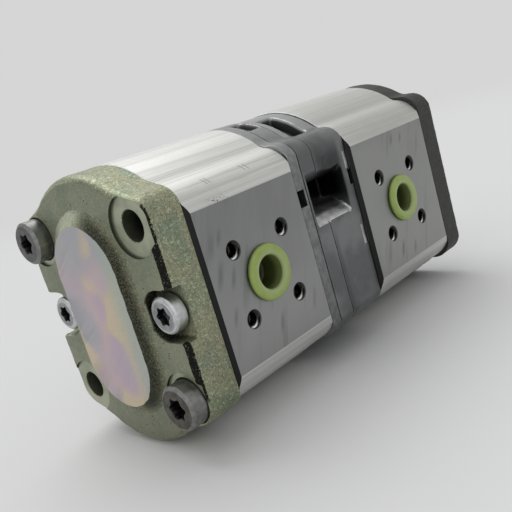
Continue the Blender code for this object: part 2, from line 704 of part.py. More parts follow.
def middle_pocket(side):
    """Side pocket under the upper bolt boss: round roof, deep floor and a sloping sill."""
    boss = (HOLE_OFFSET, HOLE_OFFSET)
    pocket_floor = MIDDLE_HALF_WIDTH - POCKET_DEPTH_Y
    inner_angle = math.acos((pocket_floor - HOLE_OFFSET) / CAST_LOBE_RADIUS)
    roof = arc(boss, CAST_LOBE_RADIUS, -inner_angle, -math.radians(25.0), 8)
    edge = MIDDLE_HALF_WIDTH + OVERCUT
    sill = [(edge, POCKET_SILL_Z - POCKET_SILL_RISE * OVERCUT / POCKET_DEPTH_Y),
            (pocket_floor, POCKET_SILL_Z + POCKET_SILL_RISE)]
    top = [(edge, roof[-1][1])]
    outline = [(side * y, z) for y, z in [*roof, *top, *sill]]
    cutter = pulled_cutter(f"middle_pocket_{side}", [outline], X_MIDDLE + POCKET_REAR_WALL,
                           X_FRONT_BODY - POCKET_FRONT_WALL)
    bevel_by_angle(cutter, POCKET_CORNER, 2)
    return cutter


def sector(centre, inner, outer, start, end):
    """Outline of a band between two radii, with angles counted from +Z towards -Y."""
    def turn(angle):
        return angle + math.pi / 2

    return arc(centre, outer, turn(start), turn(end)) + arc(centre, inner, turn(end), turn(start))


def roof_windows():
    """Four recesses in the arch of the middle casting, two on each side of its crown, parted by ribs."""
    centre = (0.0, CROWN_HEIGHT - ARCH_RADIUS)
    x_front = X_MIDDLE + FRONT_WINDOW_WALL
    rows = [
        ("front", x_front, x_front + FRONT_WINDOW_LENGTH, FRONT_WINDOW_DEPTH, FRONT_WINDOW_ANGLES),
        ("rear", X_MIDDLE + REAR_WINDOW_WALL, x_front - WINDOW_RIB, REAR_WINDOW_DEPTH, REAR_WINDOW_ANGLES),
    ]
    cutters = []
    for row, x_low, x_high, depth, (near, far) in rows:
        for side, span in (("right", (near, far)), ("left", (-far, -near))):
            outline = sector(centre, ARCH_RADIUS - depth, ARCH_RADIUS + OVERCUT, *span)
            cutters.append(pulled_cutter(f"roof_window_{row}_{side}", [outline], x_low, x_high))
    return cutters


def build_middle_housing():
    """Die-cast section between the two pumps, hollow for the coupling and cored at its sides and roof."""
    wide = section_outline(MIDDLE_SECTION)
    narrow = section_outline(STEPPED_SECTION)
    x_step = X_MIDDLE + MIDDLE_STEP_LENGTH
    middle = lofted("middle_housing", [(X_MIDDLE + SEAT_GAP, wide), (x_step, wide), (x_step, narrow),
                                       (X_FRONT_BODY, narrow)], DIE_CAST)
    seat = INNER_SEAL_RADIUS + SEAT_GAP
    bore = COUPLING_RADIUS + SEAT_GAP
    through = MIDDLE_LENGTH + OVERCUT
    carve(
        middle,
        bolt_holes("middle", X_MIDDLE, X_FRONT_BODY),
        drill("middle_bore", [facing("-X", X_FRONT_BODY, 0.0, SHAFT_Z)],
              [(seat, -OVERCUT), (seat, INNER_SEAL_LENGTH), (bore, INNER_SEAL_LENGTH), (bore, through)],
              BORE_SEGMENTS),
        middle_pocket(-1),
        middle_pocket(1),
        *roof_windows(),
        weep_slot("middle_weep_slot", X_FRONT_BODY - WEEP_SLOT_HEAD_DEPTH, X_FRONT_BODY + OVERCUT),
        seal_groove("middle_seal_groove", X_FRONT_BODY, -1),
        dowel_holes("middle_housing", X_FRONT_BODY),
    )
    return middle


def build_front_cover():
    """Cast iron mounting flange with the spigot, the shaft seal seat and the threads of the long bolts."""
    flange = lofted("front_cover", slab(FLANGE_SECTION, X_FLANGE + SEAT_GAP, 0.0), DARK_IRON)
    groove = PILOT_RING_RADIUS + SEAT_GAP
    ring_x = SPIGOT_HEIGHT / 2
    floor = SPIGOT_RADIUS - 2 * groove + SEAT_GAP
    spigot = turned(
        "spigot",
        [
            (0.0, SPIGOT_HEIGHT),
            (SPIGOT_RADIUS - groove / 2, SPIGOT_HEIGHT),
            (SPIGOT_RADIUS, SPIGOT_HEIGHT - groove / 2),
            (SPIGOT_RADIUS, ring_x + groove),
            (floor, ring_x + groove),
            (floor, ring_x - groove),
            (SPIGOT_RADIUS, ring_x - groove),
            (SPIGOT_RADIUS, -OVERCUT),
            (0.0, -OVERCUT),
        ],
        facing("+X", 0.0, 0.0, SHAFT_Z),
        segments=SPIGOT_SEGMENTS,
        collection=TOOLS,
    )
    fuse(flange, spigot)
    seat = SHAFT_SEAL_RADIUS + SEAT_GAP
    clip_low = CIRCLIP_INSET - SEAT_GAP
    clip_high = CIRCLIP_INSET + CIRCLIP_THICKNESS + SEAT_GAP
    seat_end = clip_high + SHAFT_SEAL_LENGTH + 2 * SEAT_GAP
    bore = SHAFT_HOLE_RADIUS
    carve(
        flange,
        bolt_holes("flange", X_FLANGE, 0.0),
        drill("shaft_bore", [facing("-X", SPIGOT_HEIGHT, 0.0, SHAFT_Z)],
              [(seat, -OVERCUT), (seat, clip_low), (seat + CIRCLIP_GROOVE, clip_low),
               (seat + CIRCLIP_GROOVE, clip_high), (seat, clip_high), (seat, seat_end), (bore, seat_end),
               (bore, SPIGOT_HEIGHT + FLANGE_THICKNESS + OVERCUT)], BORE_SEGMENTS),
        drill("idler_relief", [facing("+X", X_FLANGE, 0.0, -SHAFT_Z)],
              [(bore, -OVERCUT), (bore, JOURNAL_RELIEF)]),
        seal_groove("flange_seal_groove", X_FLANGE + SEAT_GAP, 1),
        dowel_holes("front_cover", X_FLANGE),
    )
    return flange


def involute(angle):
    return math.tan(angle) - angle


def gear_outline(centre_z, phase):
    """Spur gear outline with true involute flanks down to the base circle and radial ones below it."""
    pitch_radius = GEAR_SPACING / 2
    base_radius = pitch_radius * math.cos(PRESSURE_ANGLE)
    pitch_half = math.pi / (2 * GEAR_TEETH) - GEAR_BACKLASH / (2 * pitch_radius)
    radii = [base_radius + (GEAR_TIP_RADIUS - base_radius) * i / FLANK_STEPS for i in range(FLANK_STEPS + 1)]
    flank = [(r, pitch_half + involute(PRESSURE_ANGLE) - involute(math.acos(min(1.0, base_radius / r))))
             for r in radii]
    flank.insert(0, (GEAR_ROOT_RADIUS, flank[0][1] * 1.25))
    points = []
    for tooth in range(GEAR_TEETH):
        middle = phase + 2 * math.pi * tooth / GEAR_TEETH
        tooth_points = [(r, middle - half) for r, half in flank] + [(r, middle + half) for r, half in reversed(flank)]
        points += [(r * math.cos(a), centre_z + r * math.sin(a)) for r, a in tooth_points]
    return points


def tang_cutters(name, x_low, x_high, upright):
    """Two boxes that leave a flat tang across a shaft end."""
    half = TANG_THICKNESS / 2
    reach = COUPLING_RADIUS
    cutters = []
    for side in (-1, 1):
        near, far = sorted((side * half, side * reach))
        if upright:
            low, high = (x_low, near, SHAFT_Z - reach), (x_high, far, SHAFT_Z + reach)
        else:
            low, high = (x_low, -reach, SHAFT_Z + near), (x_high, reach, SHAFT_Z + far)
        cutters.append(box_cutter(f"{name}_{side}", low, high))
    return cutters


def build_gear(name, stage, centre_z, shaft_low, shaft_high):
    """Gear and shaft in one piece, with its origin on the shaft's axis."""
    drive = centre_z > 0
    phase = -math.pi / 2 if drive else math.pi / 2 + math.pi / GEAR_TEETH
    low, high = gear_faces(stage)
    gear = pulled(name, [gear_outline(centre_z, phase)], low, high, STEEL, centre=(0.0, centre_z))
    radius = JOURNAL_RADIUS
    chamfer = HEAD_CHAMFER
    profile = [(0.0, shaft_high), (radius - chamfer, shaft_high), (radius, shaft_high - chamfer),
               (radius, shaft_low + chamfer), (radius - chamfer, shaft_low), (0.0, shaft_low)]
    shaft = turned(name + "_shaft", profile, facing("+X", 0.0, 0.0, centre_z), segments=BORE_SEGMENTS,
                   collection=TOOLS)
    fuse(gear, shaft)
    return gear


def build_gears():
    tang_depth = TANG_LENGTH - SEAT_GAP
    rear_tang = X_COUPLING - COUPLING_LENGTH / 2
    front_tang = X_COUPLING + COUPLING_LENGTH / 2
    shaft_end = SPIGOT_HEIGHT + SHAFT_PROJECTION
    rear_end = X_REAR_BODY - JOURNAL_OVERRUN
    rear_drive = build_gear("rear_drive_gear", REAR_STAGE, SHAFT_Z, rear_end, rear_tang + tang_depth)
    carve(rear_drive, *tang_cutters("rear_tang", rear_tang - SEAT_GAP, rear_tang + TANG_LENGTH, True))
    front_drive = build_gear("front_drive_gear", FRONT_STAGE, SHAFT_Z, front_tang - tang_depth, shaft_end)
    carve(front_drive, *tang_cutters("front_tang", front_tang - TANG_LENGTH, front_tang + SEAT_GAP, False))
    carve(front_drive, *tang_cutters("drive_tang", SPIGOT_HEIGHT, shaft_end + OVERCUT, True))
    build_gear("rear_idler_gear", REAR_STAGE, -SHAFT_Z, rear_end, X_PLATE - SEAT_GAP)
    build_gear("front_idler_gear", FRONT_STAGE, -SHAFT_Z, X_FRONT_BODY + 2 * SEAT_GAP, X_FLANGE + JOURNAL_OVERRUN)


def build_coupling():
    """Sleeve between the two drive shafts, with a cross slot for a tang in each end."""
    half = COUPLING_LENGTH / 2
    radius = COUPLING_RADIUS - SEAT_GAP
    profile = [(0.0, half), (radius, half), (radius, -half), (0.0, -half)]
    coupling = turned("shaft_coupling", profile, facing("+X", X_COUPLING, 0.0, SHAFT_Z), STEEL, BORE_SEGMENTS)
    slot = TANG_THICKNESS / 2 + SEAT_GAP
    reach = COUPLING_RADIUS + OVERCUT
    carve(
        coupling,
        box_cutter("rear_coupling_slot", (X_COUPLING - half - OVERCUT, -slot, SHAFT_Z - reach),
                   (X_COUPLING - half + TANG_LENGTH, slot, SHAFT_Z + reach)),
        box_cutter("front_coupling_slot", (X_COUPLING + half - TANG_LENGTH, -reach, SHAFT_Z - slot),
                   (X_COUPLING + half + OVERCUT, reach, SHAFT_Z + slot)),
    )
    return coupling


def build_bearings(stage):
    """Figure-8 bearing blocks at both sides of the gears, each with two sleeve bushes and a pressure seal."""
    low, high = gear_faces(stage)
    ends = (
        ("rear", stage.back + 2 * SEAT_GAP, low - SEAT_GAP, stage.back + 2 * SEAT_GAP, 1),
        ("front", high + SEAT_GAP, stage.front - SEAT_GAP, stage.front - SEAT_GAP, -1),
    )
    for end, x_low, x_high, back_face, inward in ends:
        label = f"{stage.name}_{end}"
        bores = [circle(0.0, side * SHAFT_Z, BLOCK_BORE, BORE_SEGMENTS) for side in (-1, 1)]
        block = pulled(f"{label}_bearing_block", [twin_bore_outline(BLOCK_RADIUS), *bores], x_low, x_high, BEARING)
        for shaft, z in (("upper", SHAFT_Z), ("lower", -SHAFT_Z)):
            build_bush(f"{label}_{shaft}_bush", x_low, x_high, z)
        depth = 2 * BLOCK_SEAL_RADIUS + SEAT_GAP
        groove = block_seal_path()
        carve(block, seal_channel(f"{label}_seal_channel", groove, back_face, inward * depth))
        seal_x = back_face + inward * (BLOCK_SEAL_RADIUS + SEAT_GAP / 2)
        tube(f"{label}_pressure_seal", [(seal_x, y, z) for y, z in groove], BLOCK_SEAL_RADIUS, RUBBER)


def build_bush(name, x_low, x_high, z):
    half = (x_high - x_low) / 2
    profile = [(BUSH_OUTER, half), (BUSH_OUTER, -half), (BUSH_INNER, -half), (BUSH_INNER, half)]
    return turned(name, profile, facing("+X", (x_low + x_high) / 2, 0.0, z), BRONZE)


def block_seal_path():
    """Centre line shaped like a 3 on the outlet side, around both shafts."""
    upper = arc((0.0, SHAFT_Z), BLOCK_SEAL_TRACK, math.radians(100.0), math.radians(235.0), 9)
    return upper + [(y, -z) for y, z in reversed(upper)]


def seal_channel(name, path, x, reach):
    """Cutter along the seal's centre line, wide enough for the seal and its gaps."""
    half = BLOCK_SEAL_RADIUS + SEAT_GAP
    count = len(path)
    left, right = [], []
    for i, (y, z) in enumerate(path):
        before = Vector(path[max(i - 1, 0)])
        after = Vector(path[min(i + 1, count - 1)])
        along = (after - before).normalized()
        end = half if i in (0, count - 1) else 0.0
        push = along * (end if i else -end)
        left.append((y - along.y * half + push.x, z + along.x * half + push.y))
        right.append((y + along.y * half + push.x, z - along.x * half + push.y))
    outline = left + right[::-1]
    return pulled_cutter(name, [outline], min(x - math.copysign(OVERCUT, reach), x + reach),
                         max(x - math.copysign(OVERCUT, reach), x + reach))


def socket_cutter(name, head_radius, head_height, place):
    """Six-lobe socket: a rounded star sunk in the top of a head."""
    outer = head_radius * SOCKET_SHARE
    waviness = outer * 0.14
    points = []
    for i in range(SOCKET_POINTS):
        angle = 2 * math.pi * i / SOCKET_POINTS
        radius = outer - waviness + waviness * math.cos(6 * angle)
        points.append((radius * math.cos(angle), radius * math.sin(angle)))
    cutter = pulled_cutter(name, [points], -head_height * SOCKET_DEPTH_SHARE, OVERCUT)
    cutter.matrix_world = place
    return cutter


def build_cap_screw(name, seat_x, y, z, radius, length, head_radius, head_height):
    """Six-lobe cap screw with its head on the -X side of the seat."""
    chamfer = HEAD_CHAMFER
    profile = [
        (0.0, head_height),
        (head_radius - chamfer, head_height),
        (head_radius, head_height - chamfer),
        (head_radius, 0.0),
        (radius, 0.0),
        (radius, -length + chamfer),
        (radius - chamfer, -length),
        (0.0, -length),
    ]
    place = facing("-X", seat_x - SEAT_GAP, y, z)
    screw = turned(name, profile, place, BOLT_STEEL, BORE_SEGMENTS)
    socket_place = facing("-X", seat_x - SEAT_GAP - head_height, y, z)
    carve(screw, socket_cutter(name + "_socket", head_radius, head_height, socket_place))
    return screw


def build_screws():
    seat_x = X_COVER + BOLT_SEAT_DEPTH
    for label, y, z in bolt_positions():
        build_cap_screw(f"long_bolt_{label}", seat_x, y, z, BOLT_RADIUS, -seat_x - BOLT_END_COVER,
                        BOLT_HEAD_RADIUS, BOLT_HEAD_HEIGHT)
    for label, side in (("right", -1), ("left", 1)):
        build_cap_screw(f"cover_screw_{label}", X_COVER + POCKET_DEPTH, side * SCREW_Y, 0.0, SCREW_RADIUS,
                        SCREW_GRIP, SCREW_HEAD_RADIUS, SCREW_HEAD_HEIGHT)


def build_port_plug(stage, outward, radius):
    """Push-in plastic cup with a rim on the port face."""
    sign = -1 if outward == "-Y" else 1
    label = "outlet" if sign < 0 else "inlet"
    sleeve = radius - SEAT_GAP
    rim = radius + PLUG_RIM_OVERLAP
    inner = sleeve - PLUG_WALL
    taper = SEAT_GAP
    round_off = PLUG_RIM_THICKNESS / 2
    profile = [
        (inner, PLUG_RIM_THICKNESS - round_off),
        (inner + round_off, PLUG_RIM_THICKNESS),
        (rim - round_off, PLUG_RIM_THICKNESS),
        (rim, PLUG_RIM_THICKNESS - round_off),
        (rim, 0.0),
        (sleeve, 0.0),
        (sleeve - taper, -PLUG_DEPTH),
        (0.0, -PLUG_DEPTH),
        (0.0, -PLUG_DEPTH + PLUG_WALL),
        (inner - taper, -PLUG_DEPTH + PLUG_WALL),
    ]
    place = facing(outward, gear_centre(stage), sign * (BODY_HALF_WIDTH + SEAT_GAP), PORT_Z)
    return turned(f"{stage.name}_{label}_plug", profile, place, LIME)


def seal_ring(name, outer, x_low, x_high):
    """Lip seal in section: an outer wall, a web and a lip that clears the shaft."""
    middle = (x_low + x_high) / 2
    half = (x_high - x_low) / 2
    lip = JOURNAL_RADIUS + SEAT_GAP
    web = (outer - lip) / 3
    profile = [(outer, half), (outer, -half), (lip, -half), (lip, 0.0), (lip + web, 0.0), (lip + web, half)]
    return turned(name, profile, facing("+X", middle, 0.0, SHAFT_Z), RUBBER)


def build_seals():
    joint_seal("rear_cover_joint_seal", X_REAR_BODY, -1)
    joint_seal("adapter_plate_joint_seal", X_PLATE + SEAT_GAP, 1)
    joint_seal("middle_housing_joint_seal", X_FRONT_BODY, -1)
    joint_seal("front_cover_joint_seal", X_FLANGE + SEAT_GAP, 1)
    seal_high = SPIGOT_HEIGHT - CIRCLIP_INSET - CIRCLIP_THICKNESS - 2 * SEAT_GAP
    seal_ring("drive_shaft_seal", SHAFT_SEAL_RADIUS, seal_high - SHAFT_SEAL_LENGTH, seal_high)
    length = INNER_SEAL_LENGTH - SEAT_GAP
    seal_ring("plate_shaft_seal", INNER_SEAL_RADIUS, X_PLATE + 2 * SEAT_GAP, X_PLATE + length)
    seal_ring("middle_shaft_seal", INNER_SEAL_RADIUS, X_FRONT_BODY - length, X_FRONT_BODY - SEAT_GAP)
    ring_path = [(SPIGOT_HEIGHT / 2, y, z) for y, z in circle(0.0, SHAFT_Z, SPIGOT_RADIUS - PILOT_RING_RADIUS, 28)]
    tube("pilot_ring", ring_path, PILOT_RING_RADIUS, RUBBER, cyclic=True)


def build_circlip():
    """Internal retaining ring, open at the bottom, in front of the drive shaft seal."""
    gap = math.radians(14.0)
    outer = SHAFT_SEAL_RADIUS + CIRCLIP_GROOVE
    start, end = -math.pi / 2 + gap, 3 * math.pi / 2 - gap
    outline = arc((0.0, SHAFT_Z), outer, start, end, 24)
    outline += arc((0.0, SHAFT_Z), outer - CIRCLIP_WIDTH, end, start, 24)
    x_high = SPIGOT_HEIGHT - CIRCLIP_INSET
    return pulled("seal_circlip", [outline], x_high - CIRCLIP_THICKNESS, x_high, STEEL)


def build_pump():
    build_rear_cover()
    for stage in STAGES:
        build_body(stage)
        build_bearings(stage)
        build_port_plug(stage, "-Y", OUTLET_RADIUS)
        build_port_plug(stage, "+Y", INLET_RADIUS)
    build_adapter_plate()
    build_middle_housing()
    build_front_cover()
    build_gears()
    build_coupling()
    build_seals()
    build_circlip()
    build_screws()
    for label, x in (("rear_cover", X_REAR_BODY), ("adapter_plate", X_PLATE),
                     ("middle_housing", X_FRONT_BODY), ("front_cover", X_FLANGE)):
        build_dowels(label, x)


build_pump()
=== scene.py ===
"""Looks of the tandem gear pump: housings, castings, fasteners, plugs and their finishes.

Sizes are millimetres, turned into metres where a mesh is made. X runs along the shafts towards the
mounting face at X = 0, the outlets face -Y, and the drive shaft lies above the middle of the bolt square.
"""
import math
from functools import partial

import bmesh
import bpy
import numpy as np
from mathutils import Matrix, Vector, noise


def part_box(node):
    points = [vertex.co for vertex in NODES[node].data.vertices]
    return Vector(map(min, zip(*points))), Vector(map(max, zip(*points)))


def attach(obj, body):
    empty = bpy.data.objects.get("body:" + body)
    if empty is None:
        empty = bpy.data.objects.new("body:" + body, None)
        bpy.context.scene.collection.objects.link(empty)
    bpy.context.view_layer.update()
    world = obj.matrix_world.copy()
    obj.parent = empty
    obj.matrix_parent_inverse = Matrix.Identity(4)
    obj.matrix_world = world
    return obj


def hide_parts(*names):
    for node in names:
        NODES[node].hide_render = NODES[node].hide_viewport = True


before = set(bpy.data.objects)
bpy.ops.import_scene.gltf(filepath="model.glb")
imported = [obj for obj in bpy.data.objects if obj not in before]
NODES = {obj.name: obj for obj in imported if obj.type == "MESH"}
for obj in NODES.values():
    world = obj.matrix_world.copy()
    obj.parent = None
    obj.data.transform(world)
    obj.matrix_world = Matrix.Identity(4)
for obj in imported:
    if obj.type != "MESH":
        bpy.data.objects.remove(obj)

MM = 0.001

# Cross-section
HOLE = 30.0
CROWN = 50.0
ARCH = 40.0
BLEND = 8.0
COVER_BLEND = 50.0
BODY_FLAT = 39.9
COVER_FLAT = 38.8
MIDDLE_FLAT = 38.5
RUBBED = 0.75
FLANGE_FLAT = 39.2
BOLT_HOLE = 5.3
BODY_LOBE = (27.0, 25.5, 13.2)
CAST_LOBE = (HOLE, HOLE, 9.7)
MIDDLE_LOBE = (HOLE, HOLE, 9.1)

# Joint planes along X
X_FLANGE = -12.5
X_FRONT_BODY = -71.1
X_STEP = -91.7
X_MIDDLE = -100.3
X_PLATE = -105.8
X_REAR_BODY = -159.1
X_COVER = -173.5
GAP = 0.3
WIDE = 60.0
PAST_SIDE = 45.0

# Drive line and gears
SHAFT_Z = 17.0
JOURNAL = 8.8
BORE = 19.5
SPIGOT = 25.0
SPIGOT_END = 7.0
SHAFT_END = 15.0
SEAL_SEAT = 14.3
JOURNAL_BORE = 9.1
COUPLING_BORE = (14.8, 11.9)
SEAL_GROOVE = ((25.1, 42.1), (22.3, 39.3))

# Ports
REAR_PORT_X = -132.25
FRONT_PORT_X = -42.8
PORT_Z = -0.9
OUTLET_CIRCLE = 35.0
INLET_CIRCLE = 40.0
HOLE_OFFSET = [pitch_circle / 2 * math.cos(math.pi / 4) for pitch_circle in (OUTLET_CIRCLE, INLET_CIRCLE)]
PORTS = {"outlet": (7.8, HOLE_OFFSET[0]), "inlet": (10.0, HOLE_OFFSET[1])}
PORT_THREAD = 3.1
CHAMFER_DEPTH = 1.4

# Fasteners
BOLT_HEAD = (8.0, 10.0)
SCREW_HEAD = (6.5, 5.0)
SPOT_FACE = 10.5
X_BOLT_SEAT = X_COVER + 5.1
SCREW_Y = 31.2
SCREW_HOLE = 4.3
POCKET = 8.7
X_POCKET_FLOOR = X_COVER + 5.6
BOSS = (17.8, 33.4)
BOSS_RISE = 3.2

LONG_BOLTS = (("right", -HOLE, -HOLE), ("left", HOLE, HOLE))
OPEN_HOLES = ((-HOLE, HOLE), (HOLE, -HOLE))
BOLT_SQUARE = [(y, z) for y in (-HOLE, HOLE) for z in (-HOLE, HOLE)]
COVER_SCREWS = [(-SCREW_Y, 0.0), (SCREW_Y, 0.0)]
SHAFTS = [(0.0, -SHAFT_Z), (0.0, SHAFT_Z)]

# Short pairs of ticks on the drawn skin: x, z
DIE_TICKS = ((-144.4, 35.7), (-142.9, 35.7), (-126.2, 35.5), (-124.3, 35.5))

# Dark hand marks on the milled faces: x, z, half width, half height
HAND_MARKS = (
    (-60.3, -19.5, 2.6, 7.5), (-50.5, -22.0, 1.6, 5.0), (-41.0, -24.0, 1.4, 4.0), (-40.2, 24.5, 1.5, 3.4),
    (-33.2, 23.7, 1.3, 3.2), (-153.4, 16.0, 2.2, 6.0), (-149.2, 17.5, 1.6, 4.0), (-153.2, 5.5, 2.0, 6.5),
    (-148.0, 3.0, 1.6, 5.0), (-132.5, -20.0, 1.5, 5.0), (-113.3, -18.5, 1.6, 5.5), (-152.0, -9.5, 1.5, 4.5))

# Grey of the backdrop
PALE = (0.665, 0.67, 0.665)

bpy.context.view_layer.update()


# Finishes


class Value:
    """A socket of a finish. Arithmetic on it adds the nodes that work out the number."""

    def __init__(self, recipe, socket):
        self.recipe = recipe
        self.socket = socket

    def math(self, operation, *others):
        return self.recipe.node("ShaderNodeMath", {"operation": operation}, dict(enumerate((self, *others))))

    def __add__(self, other):
        return self.math("ADD", other)

    __radd__ = __add__

    def __sub__(self, other):
        return self.math("SUBTRACT", other)

    def __rsub__(self, other):
        return self * -1.0 + other

    def __mul__(self, other):
        return self.math("MULTIPLY", other)

    __rmul__ = __mul__

    def __abs__(self):
        return self.math("ABSOLUTE")

    def length(self):
        return self.recipe.vector("LENGTH", self, output="Value")

    def ramp(self, low, high):
        """Smooth rise from 0 at low to 1 at high, or a fall from 1 to 0 where low is the larger."""
        if low > high:
            return 1 - self.ramp(high, low)
        settings = {"interpolation_type": "SMOOTHSTEP", "clamp": True}
        sockets = {"Value": self, "From Min": low, "From Max": high}
        return self.recipe.node("ShaderNodeMapRange", settings, sockets)


class Nodes:
    """Writes the nodes of a tree."""

    def __init__(self, tree):
        self.tree = tree

    def node(self, kind, settings=(), sockets=(), output=0):
        """Adds a node: its settings first, then the values or links of its sockets."""
        node = self.tree.nodes.new(kind)
        for key, setting in dict(settings).items():
            if key == "stops":
                ramp = node.color_ramp
                while len(ramp.elements) < len(setting):
                    ramp.elements.new(0.5)
                for stop, (position, color) in zip(ramp.elements, setting):
                    stop.position = position
                    stop.color = (*color, 1.0)
            else:
                setattr(node, key, setting)
        for key, value in dict(sockets).items():
            self.feed(node.inputs[key], value)
        return Value(self, node.outputs[output])

    def feed(self, socket, value):
        if isinstance(value, Value):
            self.tree.links.new(value.socket, socket)
        elif socket.type == "RGBA" and len(value) == 3:
            socket.default_value = (*value, 1.0)
        else:
            socket.default_value = value


class Finish(Nodes):
    """Nodes of one surface finish. Its place is Object coordinates in millimetres."""

    def __init__(self, name):
        self.material = bpy.data.materials.new(name)
        self.material.use_nodes = True
        super().__init__(self.material.node_tree)
        self.shader = self.tree.nodes["Principled BSDF"]
        metres = self.node("ShaderNodeTexCoord", output="Object")
        self.place = self.vector("MULTIPLY", metres, (1 / MM, 1 / MM, 1 / MM))

    def vector(self, operation, first, second=(0.0, 0.0, 0.0), output="Vector"):
        return self.node("ShaderNodeVectorMath", {"operation": operation}, {0: first, 1: second}, output)

    def grain(self, scale, detail=3.0, stretch=None, seed=0.0, place=None):
        """Soft noise with about scale features per millimetre."""
        place = place or self.place
        if stretch:
            place = self.vector("MULTIPLY", place, stretch)
        vector = self.vector("ADD", place, (seed, -seed, 2 * seed))
        return self.node("ShaderNodeTexNoise", {"noise_dimensions": "3D"},
                         {"Vector": vector, "Scale": scale, "Detail": detail, "Roughness": 0.55}, "Fac")

    def cells(self, scale, output):
        sockets = {"Vector": self.place, "Scale": scale}
        return self.node("ShaderNodeTexVoronoi", {"feature": "F1"}, sockets, output)

    def pits(self, scale):
        """Distance from the nearest of many scattered points."""
        return self.cells(scale, "Distance")

    def flakes(self, scale):
        """A random number for each small cell."""
        return self.node("ShaderNodeSeparateColor", (), {"Color": self.cells(scale, "Color")}, "Red")

    def along(self, axis):
        return self.node("ShaderNodeSeparateXYZ", (), {"Vector": self.place}, axis)

    def mix(self, share, first, second):
        return self.node("ShaderNodeMix", {"data_type": "RGBA", "clamp_factor": True},
                         {0: share, 6: first, 7: second}, 2)

    def hues(self, value, *stops):
        return self.node("ShaderNodeValToRGB", {"stops": stops}, {"Fac": value}, "Color")

    def coats(self, color, *layers):
        """Lays (share, colour) layers over a colour."""
        for share, layer in layers:
            color = self.mix(share, color, layer)
        return color

    def shade(self, **sockets):
        """Feeds the shader's own sockets, named with underscores for spaces."""
        for key, value in sockets.items():
            self.feed(self.shader.inputs[key.replace("_", " ").title().replace("Ior", "IOR")], value)

    def done(self, color, metallic, roughness, height=None):
        """The finished material. Its relief has a height in millimetres."""
        self.shade(base_color=color, metallic=metallic, roughness=roughness)
        if height:
            sockets = {"Strength": 1.0, "Distance": MM, "Height": height}
            self.shade(normal=self.node("ShaderNodeBump", (), sockets, "Normal"))
        return self.material


def extruded_skin():
    """Drawn aluminium: faint lengthwise die lines, dull patches and a few handling marks."""
    f = Finish("extruded_skin")
    length, level = f.along("X"), f.along("Z")
    lines = f.grain(1.0, 4.0, (0.010, 2.6, 2.6))
    fine = f.grain(1.0, 2.0, (0.04, 10.0, 10.0), 7.0)
    cloud = f.grain(0.045, 3.0, seed=3.0)
    scratch = f.grain(1.0, 1.0, (0.05, 3.0, 3.0), 21.0).ramp(0.71, 0.75)
    speckle = f.grain(1.6, 3.0, seed=13.0).ramp(0.56, 0.66) * abs(level - 29.2).ramp(1.8, 0.2)
    speckle = speckle * length.ramp(-137.5, -141.0) * length.ramp(-151.0, -147.0)
    streak = f.grain(1.0, 2.0, (0.006, 0.9, 0.9), 43.0)
    color = f.mix(lines.ramp(0.34, 0.66), (0.60, 0.60, 0.578), (0.74, 0.74, 0.716))
    color = f.coats(
        color,
        (streak.ramp(0.50, 0.62) * 0.45, (0.47, 0.47, 0.45)),
        (cloud.ramp(0.45, 0.75) * 0.35, (0.56, 0.56, 0.535)),
        (scratch * 0.6, (0.36, 0.36, 0.345)),
        (length.ramp(-85.0, -60.0) * 0.5, (0.46, 0.46, 0.44)),
        (speckle, (0.13, 0.125, 0.09)))
    for x, z in DIE_TICKS:
        tick = abs(length - x + 0.30 * (level - z)).ramp(0.28, 0.12) * abs(level - z).ramp(1.2, 0.9)
        color = f.mix(tick * 0.7, color, (0.22, 0.22, 0.21))
    return f.done(color, 1.0, 0.40 + 0.12 * cloud + 0.06 * fine,
                  0.007 * lines + 0.003 * fine - 0.006 * scratch)


def milled_port_face():
    """Face-milled aluminium, lighter towards the bottom by painted reflection, with a few slanted smudges of
    handling.
    """
    f = Finish("milled_port_face")
    level, length = f.along("Z"), f.along("X")
    slant = length - 0.42 * level
    drawn = f.node("ShaderNodeCombineXYZ", (), {"X": slant, "Z": 0.16 * level})
    wipes = f.grain(0.30, 2.0, seed=2.0, place=drawn)
    smudge = f.grain(0.20, 2.0, seed=17.0, place=drawn).ramp(0.56, 0.72)
    fog = f.grain(0.035, 2.0, seed=41.0)
    front = length.ramp(-80.0, -65.0)
    # Painted reflection: the face is lighter towards the bottom.
    color = f.mix(level.ramp(26.0, -34.0), (0.245, 0.25, 0.247), (0.35, 0.355, 0.348))
    color = f.coats(
        color,
        (front * 0.85, (0.325, 0.33, 0.32)),
        (wipes.ramp(0.40, 0.70) * 0.18, (0.33, 0.335, 0.33)),
        (fog.ramp(0.52, 0.70) * 0.25, (0.22, 0.224, 0.22)),
        (smudge * 0.30, (0.15, 0.152, 0.15)))
    for x, z, half_width, half_height in HAND_MARKS:
        mark = abs(slant - (x - 0.42 * z)).ramp(half_width, 0.0)
        mark = mark * abs(level - z).ramp(half_height, 0.1 * half_height)
        color = f.mix(mark * wipes * 0.8, color, (0.10, 0.102, 0.10))
    return f.done(color, 1.0, 0.42 + 0.10 * wipes, 0.003 * wipes + 0.004 * fog)


def shaded_bore():
    f = Finish("shaded_bore")
    rings = f.grain(1.0, 2.0, (1.0, 6.0, 1.0), 4.0)
    # Painted shade: the walls of the bores and the gear chamber are near black.
    color = f.mix(rings, (0.06, 0.06, 0.058), (0.13, 0.13, 0.126))
    # Painted light: the wall near the mouth of the cover's bolt holes is lighter.
    mouth = f.along("X").ramp(X_COVER + 9.0, X_COVER + 3.0)
    color = f.mix(mouth * 0.85, color, (0.34, 0.34, 0.26))
    return f.done(color, 1.0, 0.35 + 0.2 * rings, 0.01 * rings)


